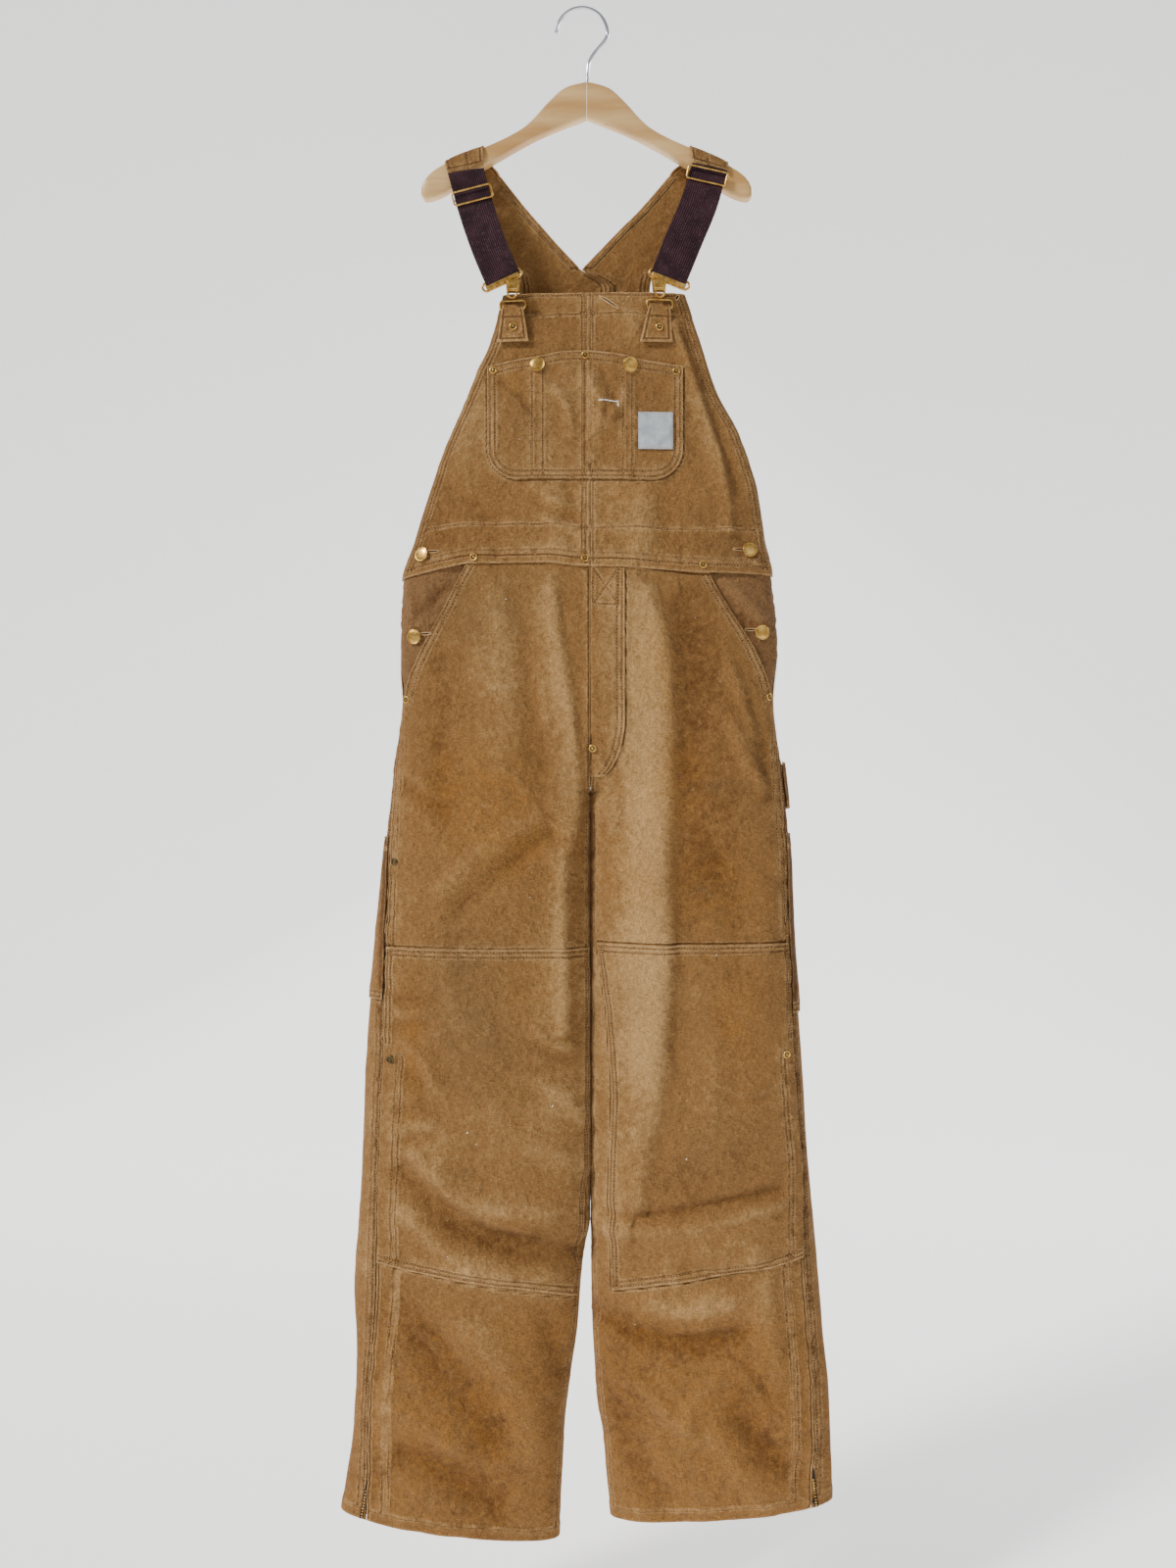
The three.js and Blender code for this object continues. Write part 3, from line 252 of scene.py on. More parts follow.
# Each crease: how far it stands out (or in, below 0), how wide it is on its two sides, and its path (x, z).
frontCreases = [
    # the wearer's left leg: a long ridge down the thigh, falling away towards the side
    (3.4, 34, 11, [(70, -672), (94, -745), (95, -890), (90, -965), (94, -1040), (96, -1115), (82, -1240),
                   (60, -1370)]),
    (-2.2, 12, 30, [(112, -690), (120, -770), (118, -900), (112, -1040), (104, -1190)]),
    (1.8, 8, 6, [(168, -762), (178, -790), (196, -836)]),
    (2.0, 9, 7, [(172, -828), (184, -860), (207, -895)]),
    (-1.6, 9, 9, [(190, -800), (205, -850), (214, -905)]),
    (1.4, 10, 7, [(48, -822), (60, -850)]),
    (-1.8, 18, 18, [(150, -985), (180, -1040), (172, -1100)]),
    (1.5, 20, 14, [(128, -1120), (150, -1200), (140, -1290)]),
    (-2.8, 9, 7, [(34, -1379), (90, -1376), (150, -1364), (222, -1350)]),
    (2.4, 8, 12, [(32, -1398), (100, -1393), (160, -1380), (222, -1366)]),
    (-2.8, 9, 9, [(118, -1437), (160, -1446), (200, -1441)]),
    (2.8, 14, 14, [(78, -1478), (120, -1484), (165, -1472)]),
    (-3.2, 13, 13, [(20, -1497), (70, -1512), (135, -1524), (180, -1510)]),
    (2.0, 8, 8, [(70, -1572), (92, -1596), (118, -1618)]),
    (1.8, 8, 8, [(150, -1560), (122, -1590), (118, -1618)]),
    (-3.2, 14, 14, [(176, -1598), (206, -1640), (240, -1672)]),
    (2.2, 12, 16, [(150, -1625), (180, -1670), (205, -1705)]),
    (-2.0, 18, 18, [(40, -1600), (62, -1660), (90, -1700)]),
    (2.0, 16, 12, [(196, -1420), (214, -1500), (222, -1560)]),
    # the wearer's right leg
    (2.8, 12, 6, [(-32, -665), (-28, -720), (-12, -810), (-4, -880), (-10, -945), (-22, -990), (-20, -1165)]),
    (-2.0, 16, 9, [(-62, -700), (-55, -790), (-40, -880)]),
    (2.0, 26, 20, [(-100, -672), (-92, -760), (-86, -850)]),
    (-1.8, 18, 22, [(-150, -760), (-158, -850), (-150, -930)]),
    (-2.8, 12, 12, [(-38, -952), (-80, -985), (-136, -1032)]),
    (1.8, 10, 14, [(-60, -930), (-110, -965), (-150, -1000)]),
    (-1.6, 7, 7, [(-148, -1066), (-126, -1063)]),
    (1.7, 6, 6, [(-202, -876), (-180, -890), (-160, -908)]),
    (-1.9, 6, 6, [(-200, -892), (-176, -906), (-152, -922)]),
    (1.5, 6, 7, [(-204, -912), (-180, -926), (-164, -940)]),
    (-1.6, 7, 7, [(-203, -1137), (-166, -1133)]),
    (1.5, 6, 6, [(-203, -1150), (-172, -1148)]),
    (-1.8, 7, 7, [(-207, -1166), (-172, -1163)]),
    (2.0, 7, 7, [(-198, -1184), (-178, -1200), (-162, -1230)]),
    (-1.8, 8, 8, [(-202, -1206), (-184, -1226), (-176, -1250)]),
    (-1.8, 7, 7, [(-202, -1262), (-160, -1258)]),
    (-1.6, 6, 6, [(-200, -1294), (-166, -1288)]),
    (1.8, 7, 7, [(-202, -1278), (-168, -1274)]),
    (1.6, 7, 6, [(-52, -1168), (-34, -1184), (-12, -1192)]),
    (-1.4, 7, 7, [(-50, -1186), (-30, -1200), (-14, -1206)]),
    (1.7, 8, 8, [(-46, -1226), (-20, -1246), (-6, -1266)]),
    (2.2, 12, 12, [(-56, -1300), (-30, -1308), (-6, -1326)]),
    (2.4, 14, 14, [(-184, -1312), (-140, -1352), (-90, -1372), (-40, -1376)]),
    (-4.0, 14, 14, [(-200, -1328), (-172, -1356), (-124, -1396), (-70, -1414), (-4, -1424)]),
    (2.4, 13, 13, [(-196, -1372), (-160, -1410), (-110, -1438), (-40, -1446)]),
    (-3.0, 24, 24, [(-204, -1480), (-150, -1550), (-104, -1618)]),
    (2.6, 20, 20, [(-120, -1500), (-74, -1570), (-52, -1640)]),
    (-2.6, 18, 18, [(-200, -1646), (-150, -1672), (-96, -1704)]),
    (2.0, 16, 16, [(-222, -1590), (-190, -1610), (-150, -1630)]),
    (-1.8, 14, 14, [(-40, -1500), (-22, -1560)]),
    # small sharp wrinkles between the broad folds of both legs
    (1.1, 5, 4, [(-60, -1395), (-100, -1385), (-150, -1352)]),
    (-1.0, 4, 5, [(-64, -1404), (-104, -1394), (-156, -1362)]),
    (1.0, 5, 4, [(60, -1500), (100, -1512), (150, -1500)]),
    (-0.9, 4, 5, [(64, -1508), (104, -1520), (152, -1508)]),
    (0.9, 5, 5, [(90, -1560), (116, -1590), (130, -1630)]),
    (0.9, 5, 4, [(160, -1540), (186, -1560), (206, -1590)]),
    (-0.9, 4, 5, [(166, -1534), (192, -1552), (212, -1580)]),
    (1.0, 5, 5, [(-190, -1500), (-160, -1530), (-140, -1570)]),
    (-0.9, 4, 5, [(-184, -1494), (-152, -1524), (-132, -1562)]),
    (0.9, 5, 5, [(-90, -1660), (-130, -1648), (-170, -1622)]),
    (1.0, 4, 5, [(150, -1226), (176, -1240), (206, -1236)]),
    (-0.9, 5, 4, [(152, -1234), (178, -1248), (208, -1244)]),
    (1.0, 5, 4, [(-66, -895), (-48, -930), (-32, -980)]),
    (0.9, 5, 4, [(20, -862), (33, -895), (38, -945)]),
    (-0.9, 4, 5, [(28, -858), (42, -890), (47, -940)]),
    (0.8, 4, 5, [(-14, -862), (-34, -884), (-62, -900)]),
    (0.8, 5, 5, [(120, -1090), (150, -1100), (190, -1090)]),
    (1.0, 5, 4, [(140, -1046), (170, -1060), (206, -1052)]),
    (0.9, 4, 5, [(-190, -1420), (-160, -1436), (-120, -1440)]),
    (0.9, 5, 4, [(-60, -740), (-44, -780), (-40, -830)]),
    # the bib
    (2.2, 8, 6, [(104, -372), (118, -408), (128, -442), (140, -480), (154, -520), (163, -562), (168, -604)]),
    (-1.6, 6, 9, [(118, -380), (132, -420), (146, -462), (160, -505), (176, -560)]),
    (1.7, 5, 4, [(12, -440), (23, -462), (19, -490)]),
    (-1.6, 5, 6, [(24, -428), (37, -455), (48, -476)]),
    (1.6, 5, 4, [(32, -480), (45, -463), (50, -442)]),
    (1.5, 6, 5, [(-30, -446), (-14, -470), (-9, -500)]),
    (-1.5, 6, 6, [(-90, -438), (-70, -452), (-55, -474)]),
    (1.4, 6, 5, [(8, -502), (26, -488), (46, -494)]),
    (1.4, 5, 6, [(66, -500), (84, -508), (98, -498)]),
    (1.3, 6, 6, [(-54, -560), (-34, -574), (-16, -580)]),
    (-1.4, 6, 6, [(-50, -572), (-30, -586), (-8, -594)]),
    (1.3, 6, 6, [(-40, -596), (-20, -604), (-2, -612)]),
    (1.5, 12, 12, [(-34, -566), (-28, -636)]),
    (1.6, 12, 14, [(66, -572), (64, -640)]),
    (-1.3, 12, 12, [(96, -560), (98, -636)]),
    (1.6, 18, 18, [(-110, -430), (-128, -500), (-140, -560)]),
    (-1.4, 16, 16, [(-84, -556), (-96, -600), (-92, -640)]),
    (-1.2, 10, 10, [(-150, -556), (-120, -584), (-100, -592)]),
    (-1.2, 8, 8, [(-70, -352), (-30, -366), (-6, -360)]),
    (1.2, 8, 8, [(30, -348), (56, -362), (62, -392)]),
    # what shows of the hip outside the pocket mouth
    (-2.0, 7, 7, [(150, -668), (172, -690), (190, -716)]),
    (1.8, 7, 7, [(160, -662), (184, -686), (204, -704)]),
    (-1.8, 6, 6, [(-150, -668), (-172, -690), (-190, -704)]),
    (1.5, 6, 6, [(-196, -664), (-192, -700)]),
]
backCreases = [
    (3.0, 26, 14, [(-70, -690), (-96, -800), (-104, -930), (-112, -1060)]),
    (-2.6, 16, 26, [(-126, -700), (-140, -830), (-150, -960)]),
    (3.0, 14, 26, [(92, -690), (112, -800), (122, -930), (128, -1070)]),
    (-2.6, 26, 16, [(150, -700), (166, -830), (172, -960)]),
    (-3.2, 12, 12, [(20, -800), (60, -846), (110, -872)]),
    (-3.2, 12, 12, [(0, -800), (-44, -846), (-96, -872)]),
    (2.2, 12, 12, [(22, -836), (66, -880), (118, -902)]),
    (2.2, 12, 12, [(-4, -836), (-50, -880), (-104, -902)]),
    (-2.4, 14, 14, [(16, -930), (60, -975), (96, -1030)]),
    (-2.4, 14, 14, [(4, -930), (-46, -975), (-84, -1030)]),
    (-3.0, 11, 11, [(40, -1140), (110, -1156), (190, -1146)]),
    (2.4, 12, 12, [(44, -1170), (120, -1182), (200, -1172)]),
    (-2.8, 12, 12, [(30, -1216), (100, -1200), (180, -1212)]),
    (-3.0, 11, 11, [(-16, -1148), (-90, -1160), (-180, -1146)]),
    (2.4, 12, 12, [(-20, -1176), (-100, -1188), (-190, -1176)]),
    (-2.8, 12, 12, [(-10, -1222), (-90, -1206), (-170, -1220)]),
    (-3.0, 18, 18, [(60, -1330), (120, -1420), (190, -1470)]),
    (2.6, 18, 18, [(90, -1300), (160, -1390), (220, -1430)]),
    (-3.0, 18, 18, [(-30, -1350), (-100, -1440), (-190, -1490)]),
    (2.6, 18, 18, [(-60, -1310), (-130, -1400), (-200, -1446)]),
    (-2.6, 18, 18, [(50, -1560), (120, -1600), (200, -1596)]),
    (2.4, 16, 16, [(60, -1620), (140, -1650), (220, -1640)]),
    (-2.6, 18, 18, [(-40, -1590), (-120, -1630), (-210, -1610)]),
    (2.4, 16, 16, [(-60, -1650), (-140, -1680), (-220, -1660)]),
    (-1.8, 9, 9, [(-60, -420), (-20, -450), (20, -456), (70, -426)]),
    (1.8, 10, 10, [(-80, -450), (-24, -484), (30, -486), (90, -456)]),
    (-2.0, 12, 12, [(-120, -560), (-60, -600), (20, -610), (110, -590)]),
    (1.8, 12, 12, [(-60, -520), (-20, -552), (60, -548)]),
    (-1.2, 7, 7, [(-40, -300), (-20, -340), (10, -372)]),
    (1.2, 7, 7, [(54, -292), (40, -330), (24, -360)]),
    (1.6, 12, 12, [(-140, -620), (-60, -640)]),
    (-1.8, 12, 12, [(90, -640), (170, -620)]),
]


creaseDepth = 2.0


def creased(x, z, creases):
    total = np.zeros(x.shape)
    for height, leftWide, rightWide, path in creases:
        reach = 3 * max(leftWide, rightWide)
        xs, zs = zip(*path)
        near = (x > min(xs) - reach) & (x < max(xs) + reach) & (z > min(zs) - reach) & (z < max(zs) + reach)
        if not near.any():
            continue
        px, pz = x[near], z[near]
        best = np.full(px.shape, 1e9)
        signed = np.zeros(px.shape)
        for (ax, az), (bx, bz) in zip(path, path[1:]):
            dx, dz = bx - ax, bz - az
            along = np.clip(((px - ax) * dx + (pz - az) * dz) / (dx * dx + dz * dz), 0, 1)
            ox, oz = px - ax - along * dx, pz - az - along * dz
            away = np.hypot(ox, oz)
            closer = away < best
            best = np.where(closer, away, best)
            # a path that runs down has its left side at lower x
            signed = np.where(closer, np.sign(ox * dz - oz * dx) * -away, signed)
        wide = mix(leftWide, rightWide, ease(signed / 6 + 0.5))
        total[near] += creaseDepth * height * np.exp(-((best / wide) ** 2))
    return total


# Even, soft random waves about `size` across, from -1 to 1
def wobble(x, z, size, seed):
    grid = np.random.RandomState(seed).uniform(-1, 1, (97, 97))
    gx, gz = np.asarray(x, float) / size + 300, np.asarray(z, float) / size + 300
    ix, iz = np.floor(gx).astype(int), np.floor(gz).astype(int)
    tx, tz = ease(gx - ix), ease(gz - iz)
    corner = lambda i, j: grid[(ix + i) % 97, (iz + j) % 97]
    return mix(mix(corner(0, 0), corner(1, 0), tx), mix(corner(0, 1), corner(1, 1), tx), tz)


# How far the worn cloth stands out from its even form, the same for every layer
def foldHeight(base, normal):
    x, z = base[..., 0], base[..., 2]
    facing = -normal[..., 1]
    front = creased(x, z, frontCreases) + 1.5 * wobble(x, z * 0.7, 62, 3) + 1.0 * wobble(x, z, 23, 4)
    front += 0.28 * wobble(x, z, 9, 5)
    back = creased(x, z, backCreases) + 1.6 * wobble(x, z * 0.7, 66, 13) + 1.0 * wobble(x, z, 25, 14)
    back += 0.28 * wobble(x, z, 9, 15)
    # the waist seam and the hems hold the cloth flatter
    held = 1 - 0.55 * np.exp(-(((z - waist) / 16) ** 2))
    folds = (front * ease(facing / 0.6 + 0.1) + back * ease(-facing / 0.6 + 0.1)) * held
    # the legs press together on their inner sides, down to where they part
    inward = np.abs(normal[..., 0]) * (np.sign(centre - x) * normal[..., 0] > 0)
    pressed = ease((inward - 0.35) / 0.4) * ease((24 - np.abs(x - centre)) / 10)
    return folds + 1.5 * pressed * ease((crotch + 10 - z) / 20) * ease((z + 1385) / 60)


# Rows of stitching

rows = {}


def addRow(layer, base, normal, groove=0.55, pucker=0.35, thread=True, up=0.0):
    rows.setdefault(layer, []).append(
        dict(base=base, normal=normal, groove=groove, pucker=pucker, thread=thread, up=up))


# Even steps along a path of (x, z) corners
def spaced(path, step=1.0):
    path = np.array(path, float)
    along = np.concatenate([[0], np.cumsum(np.hypot(*np.diff(path, axis=0).T))])
    where = np.linspace(0, along[-1], max(2, int(along[-1] / step) + 1))
    return np.interp(where, along, path[:, 0]), np.interp(where, along, path[:, 1])


def surfaceFrame(surface, u, v, flip):
    step = 1e-3
    du = surface(np.minimum(1, u + step), v) - surface(np.maximum(0, u - step), v)
    dv = surface(u, np.minimum(1, v + step)) - surface(u, np.maximum(0, v - step))
    return surface(u, v), unit(np.cross(du, dv)) * flip


def frontFrame(x, z):
    base = frontPoint(x, z)
    a = frontPoint(x + 0.5, z) - frontPoint(x - 0.5, z)
    b = frontPoint(x, z + 0.5) - frontPoint(x, z - 0.5)
    normal = unit(np.cross(a, b))
    return base, normal * np.where(normal[..., 1:2] > 0, -1, 1)


def frontRow(layer, path, **how):
    x, z = spaced(path)
    addRow(layer, *frontFrame(x, z), **how)


# A row at given u and v of a panel's surface
def surfaceRow(layer, surface, flip, us, vs, **how):
    us, vs = np.broadcast_arrays(np.asarray(us, float), np.asarray(vs, float))
    rough = surface(us, vs)
    along = np.concatenate([[0], np.cumsum(np.linalg.norm(np.diff(rough, axis=0), axis=1))])
    where = np.linspace(0, along[-1], max(2, int(along[-1]) + 1))
    u, v = np.interp(where, along, us), np.interp(where, along, vs)
    addRow(layer, *surfaceFrame(surface, u, v, flip), **how)


# Grooves where a layer is sewn down, and the small puckers that sewing draws up beside them
def relief(layer, base):
    if layer not in rows:
        return np.zeros(base.shape[:-1]), np.full(base.shape[:-1], 99.0)
    found = rows[layer]
    if "tree" not in found[0]:
        points = np.concatenate([r["base"] for r in found])
        tree = kdtree.KDTree(len(points))
        for i, p in enumerate(points):
            tree.insert(p, i)
        tree.balance()
        wave = []
        for i, r in enumerate(found):
            s = np.arange(len(r["base"]), dtype=float)
            wave.append(1.5 * r["pucker"] * (wobble(s, 7.0 * i, 8.4, 31) + 0.7 * wobble(s, 5.0 * i, 4.1, 32)))
        found[0]["tree"] = tree
        found[0]["wave"] = np.concatenate(wave)
        found[0]["deep"] = np.concatenate([np.full(len(r["base"]), r["groove"]) for r in found])
    tree, wave, deep = found[0]["tree"], found[0]["wave"], found[0]["deep"]
    flat = base.reshape(-1, 3)
    away, index = np.empty(len(flat)), np.empty(len(flat), int)
    for i, p in enumerate(flat):
        _, index[i], away[i] = tree.find(p)
    height = wave[index] * np.exp(-((away / 6.5) ** 2)) - deep[index] * np.exp(-((away / 1.35) ** 2))
    return height.reshape(base.shape[:-1]), away.reshape(base.shape[:-1])


# Finishes

def addNode(tree, kind, inputs=(), **settings):
    node = tree.nodes.new(kind)
    for name, value in settings.items():
        setattr(node, name, value)
    for socket, value in dict(inputs).items():
        if isinstance(value, bpy.types.NodeSocket):
            tree.links.new(value, node.inputs[socket])
        else:
            node.inputs[socket].default_value = value
    return node


def math2(tree, operation, a, b=0.0, clamp=False):
    return addNode(tree, "ShaderNodeMath", {0: a, 1: b}, operation=operation, use_clamp=clamp).outputs[0]


def times(tree, a, b, clamp=False):
    return math2(tree, "MULTIPLY", a, b, clamp)


def plus(tree, a, b):
    return math2(tree, "ADD", a, b)


def mixColour(tree, factor, a, b, blend="MIX"):
    node = addNode(tree, "ShaderNodeMix", data_type="RGBA", blend_type=blend)
    for index, value in ((0, factor), (6, a), (7, b)):
        if isinstance(value, bpy.types.NodeSocket):
            tree.links.new(value, node.inputs[index])
        else:
            node.inputs[index].default_value = value
    return node.outputs[2]


def noise(tree, vector, scale, detail=3.0, roughness=0.55):
    node = addNode(tree, "ShaderNodeTexNoise", {"Vector": vector, "Scale": scale, "Detail": detail,
                                                "Roughness": roughness})
    return node.outputs["Fac"]


def spread(tree, value, low, high, start=0.0, end=1.0):
    node = addNode(tree, "ShaderNodeMapRange", {"Value": value, "From Min": low, "From Max": high,
                                                "To Min": start, "To Max": end},
                                                interpolation_type="SMOOTHSTEP")
    return node.outputs["Result"]


def stretched(tree, vector, scale):
    return addNode(tree, "ShaderNodeMapping", {"Vector": vector, "Scale": scale}).outputs["Vector"]


def placeOn(tree):
    return addNode(tree, "ShaderNodeTexCoord").outputs["Object"]


def clothUv(tree):
    return addNode(tree, "ShaderNodeUVMap", uv_map="cloth").outputs["UV"]


def newGroup(name, inputs, outputs):
    tree = bpy.data.node_groups.new(name, "ShaderNodeTree")
    for label, kind, value in inputs:
        socket = tree.interface.new_socket(name=label, in_out="INPUT", socket_type="NodeSocket" + kind)
        if value is not None:
            socket.default_value = value
    for label, kind in outputs:
        tree.interface.new_socket(name=label, in_out="OUTPUT", socket_type="NodeSocket" + kind)
    return tree, tree.nodes.new("NodeGroupInput").outputs, tree.nodes.new("NodeGroupOutput").inputs


# A linear colour from a 0-255 one
def colour(red, green, blue):
    linear = [((c / 255 + 0.055) / 1.055) ** 2.4 if c > 10 else c / 3295 for c in (red, green, blue)]
    return (*linear, 1.0)


# Plain weave: yarns over and under each other, with thick places in some of them
def makeWeave():
    tree, given, out = newGroup("plainWeave", [("UV", "Vector", None), ("Yarn", "Float", 0.0011)],
                                [("Height", "Float"), ("Slub", "Float")])
    bent = addNode(tree, "ShaderNodeTexNoise", {"Vector": given["UV"], "Scale": 90.0, "Detail": 1.0})
    shifted = addNode(tree, "ShaderNodeVectorMath", {0: bent.outputs["Color"], 1: (0.0009, 0.0009, 0)},
                      operation="MULTIPLY")
    moved = addNode(tree, "ShaderNodeVectorMath", {0: given["UV"], 1: shifted.outputs[0]}, operation="ADD")
    parts = addNode(tree, "ShaderNodeSeparateXYZ", {0: moved.outputs[0]})
    turns = math2(tree, "DIVIDE", 2 * math.pi, given["Yarn"])
    across = math2(tree, "SINE", times(tree, parts.outputs["X"], turns))
    down = math2(tree, "SINE", times(tree, parts.outputs["Y"], turns))
    checks = times(tree, across, down)
    warp = noise(tree, stretched(tree, given["UV"], (1500, 160, 1)), 1.0, 2.0)
    weft = noise(tree, stretched(tree, given["UV"], (170, 1400, 1)), 1.0, 2.0)
    slub = plus(tree, times(tree, warp, 0.45), times(tree, weft, 0.55))
    raised = plus(tree, times(tree, checks, 0.35), slub)
    tree.links.new(raised, out["Height"])
    tree.links.new(slub, out["Slub"])
    return tree


# Brown duck that has been worn and washed: pale where it rubs, with painted shade in its hollows and
# stitching grooves, soiled in places
def makeWornDuck(weave):
    tree, given, out = newGroup(
        "wornDuck",
        [("Cloth", "Color", colour(136, 98, 54)), ("Faded", "Color", colour(178, 141, 91)),
         ("Deep", "Color", colour(92, 58, 22)), ("Grime", "Color", colour(92, 74, 48)),
         ("Rust", "Color", colour(150, 99, 36)), ("Rubbed", "Color", colour(198, 160, 110)),
         ("Rubbing", "Float", 1.0)],
        [("Color", "Color"), ("Roughness", "Float"), ("Height", "Float"), ("Crumple", "Float")])
    place = placeOn(tree)
    read = {name: addNode(tree, "ShaderNodeAttribute", attribute_name=name).outputs["Fac"]
            for name in ("worn", "fadeAndShade", "grime", "rust", "seam")}
    woven = addNode(tree, "ShaderNodeGroup", {"UV": clothUv(tree)}, node_tree=weave)
    broad = noise(tree, place, 16.0, 4.0, 0.6)
    patchy = noise(tree, place, 55.0, 4.0, 0.65)
    fine = noise(tree, place, 420.0, 2.0, 0.7)
    # fading and painted shade, broken up by the mottle of old washes
    fadeAndShade = plus(tree, read["fadeAndShade"], times(tree, math2(tree, "SUBTRACT", broad, 0.5), 0.9))
    fadeAndShade = plus(tree, fadeAndShade, times(tree, math2(tree, "SUBTRACT", patchy, 0.5), 0.8))
    small = noise(tree, place, 130.0, 4.0, 0.6)
    fadeAndShade = plus(tree, fadeAndShade, times(tree, math2(tree, "SUBTRACT", small, 0.5), 1.7))
    shade = mixColour(tree, spread(tree, fadeAndShade, -0.1, 1.4), given["Cloth"], given["Faded"])
    # below zero the mark darkens toward the deep colour: partly darker cloth, partly painted shade
    shade = mixColour(tree, spread(tree, fadeAndShade, 0.0, -1.4), shade, given["Deep"])
    rust = times(tree, read["rust"], spread(tree, patchy, 0.25, 0.7), clamp=True)
    shade = mixColour(tree, times(tree, rust, 0.6), shade, given["Rust"])
    dirt = times(tree, read["grime"], spread(tree, noise(tree, place, 34.0, 5.0, 0.7), 0.2, 0.75),
                 clamp=True)
    shade = mixColour(tree, times(tree, dirt, 0.55), shade, given["Grime"])
    # yarns: light and dark specks
    specks = spread(tree, woven.outputs["Slub"], 0.3, 0.7, 0.68, 1.32)
    specks = times(tree, specks, spread(tree, fine, 0.25, 0.75, 0.8, 1.2))
    grey = addNode(tree, "ShaderNodeCombineColor", {0: specks, 1: specks, 2: specks}).outputs[0]
    shade = mixColour(tree, 1.0, shade, grey, "MULTIPLY")
    # beside each row of stitching the cloth is drawn up and rubs pale; in the row itself its groove gets
    # painted shade
    groove = spread(tree, read["seam"], 0.3, 1.7, 1.0, 0.0)
    ridge = times(tree, spread(tree, read["seam"], 0.8, 1.7), spread(tree, read["seam"], 1.9, 3.6, 1, 0))
    ridge = times(tree, ridge, spread(tree, patchy, 0.3, 0.65, 0.05, 0.7))
    shade = mixColour(tree, times(tree, groove, 0.82), shade, given["Deep"])
    worn = plus(tree, read["worn"], ridge)
    rub = times(tree, worn, spread(tree, fine, 0.3, 0.62, 0.35, 1.0))
    rub = times(tree, rub, given["Rubbing"], clamp=True)
    shade = mixColour(tree, times(tree, rub, 0.75), shade, given["Rubbed"])
    # small scratches and scuffs in two directions
    for scale, turn in (((60, 900, 620), 0.5), ((60, 760, 900), -0.9)):
        laid = addNode(tree, "ShaderNodeMapping", {"Vector": place,
                                                   "Rotation": (0, turn, 0)}).outputs["Vector"]
        scuff = spread(tree, noise(tree, stretched(tree, laid, scale), 1.0, 2.0), 0.67, 0.8, 0.0, 0.5)
        shade = mixColour(tree, scuff, shade, given["Rubbed"])
    tree.links.new(shade, out["Color"])
    tree.links.new(spread(tree, patchy, 0.2, 0.8, 0.84, 0.96), out["Roughness"])
    tree.links.new(plus(tree, woven.outputs["Height"], times(tree, fine, 0.8)), out["Height"])
    # small creases that no two places share
    crumple = plus(tree, times(tree, small, 0.6), times(tree, patchy, 0.9))
    drawn = times(tree, spread(tree, read["seam"], 7.0, 1.5), noise(tree, place, 240.0, 2.0, 0.5))
    crumple = plus(tree, crumple, times(tree, drawn, 0.35))
    tree.links.new(math2(tree, "SUBTRACT", crumple, times(tree, groove, 0.12)), out["Crumple"])
    return tree


weave = makeWeave()
wornDuck = makeWornDuck(weave)


def newMaterial(name, shader):
    material = bpy.data.materials.new(name)
    material.use_nodes = True
    tree = material.node_tree
    principled = tree.nodes["Principled BSDF"]
    for socket, value in shader.items():
        principled.inputs[socket].default_value = value
    return material, tree, principled


def bumped(tree, principled, height, strength, distance):
    bump = addNode(tree, "ShaderNodeBump", {"Height": height, "Strength": strength, "Distance": distance})
    tree.links.new(bump.outputs["Normal"], principled.inputs["Normal"])


def duckMaterial(name, **colours):
    material, tree, principled = newMaterial(name, {"Roughness": 0.9, "Sheen Weight": 0.04,
                                                    "Sheen Roughness": 0.6, "Specular IOR Level": 0.15})
    group = addNode(tree, "ShaderNodeGroup", colours, node_tree=wornDuck)
    tree.links.new(group.outputs["Color"], principled.inputs["Base Color"])
    tree.links.new(group.outputs["Roughness"], principled.inputs["Roughness"])
    creases = addNode(tree, "ShaderNodeBump", {"Height": group.outputs["Crumple"], "Strength": 1.0,
                                               "Distance": 0.0065})
    threads = addNode(tree, "ShaderNodeBump", {"Height": group.outputs["Height"], "Strength": 0.6,
                                               "Distance": 0.0005, "Normal": creases.outputs["Normal"]})
    tree.links.new(threads.outputs["Normal"], principled.inputs["Normal"])
    return material


duck = duckMaterial("duckWorn")
# a darker copy of the duck with less rubbing: painted shade for the facings, button stands and zip tapes that
# lie inside
duckShaded = duckMaterial("duckPaintedShade", Cloth=colour(127, 93, 58), Faded=colour(154, 121, 84), Rubbing=0.7)


# A finish whose colour wanders between two, with a little relief
def plainNoise(name, shader, low, high, scale, bump=0.0, rough=None):
    material, tree, principled = newMaterial(name, shader)
    place = placeOn(tree)
    cloud = noise(tree, place, scale, 4.0, 0.6)
    tree.links.new(mixColour(tree, spread(tree, cloud, 0.3, 0.7), low, high), principled.inputs["Base Color"])
    if rough:
        tree.links.new(spread(tree, noise(tree, place, scale * 1.7, 3.0), 0.25, 0.75, *rough),
                       principled.inputs["Roughness"])
    if bump:
        bumped(tree, principled, noise(tree, place, scale * 6, 2.0), 0.5, bump)
    return material


thread = plainNoise("thread", {"Roughness": 0.75, "Sheen Weight": 0.1}, colour(164, 122, 70),
                    colour(208, 172, 122), 70.0, 0.0002)
brass = plainNoise("brass", {"Metallic": 1.0}, colour(170, 126, 56), colour(214, 174, 100), 180.0, 0.00004,
                   (0.22, 0.42))
darkBrass = plainNoise("brassTarnished", {"Metallic": 1.0}, colour(70, 60, 44), colour(118, 100, 66), 220.0,
                       0.00004, (0.35, 0.6))
steel = plainNoise("steel", {"Metallic": 1.0}, colour(188, 192, 198), colour(218, 221, 225), 40.0, 0.0,
                   (0.08, 0.2))
paint = plainNoise("paint", {"Roughness": 0.55}, colour(214, 208, 196), colour(240, 236, 226), 300.0, 0.0001)


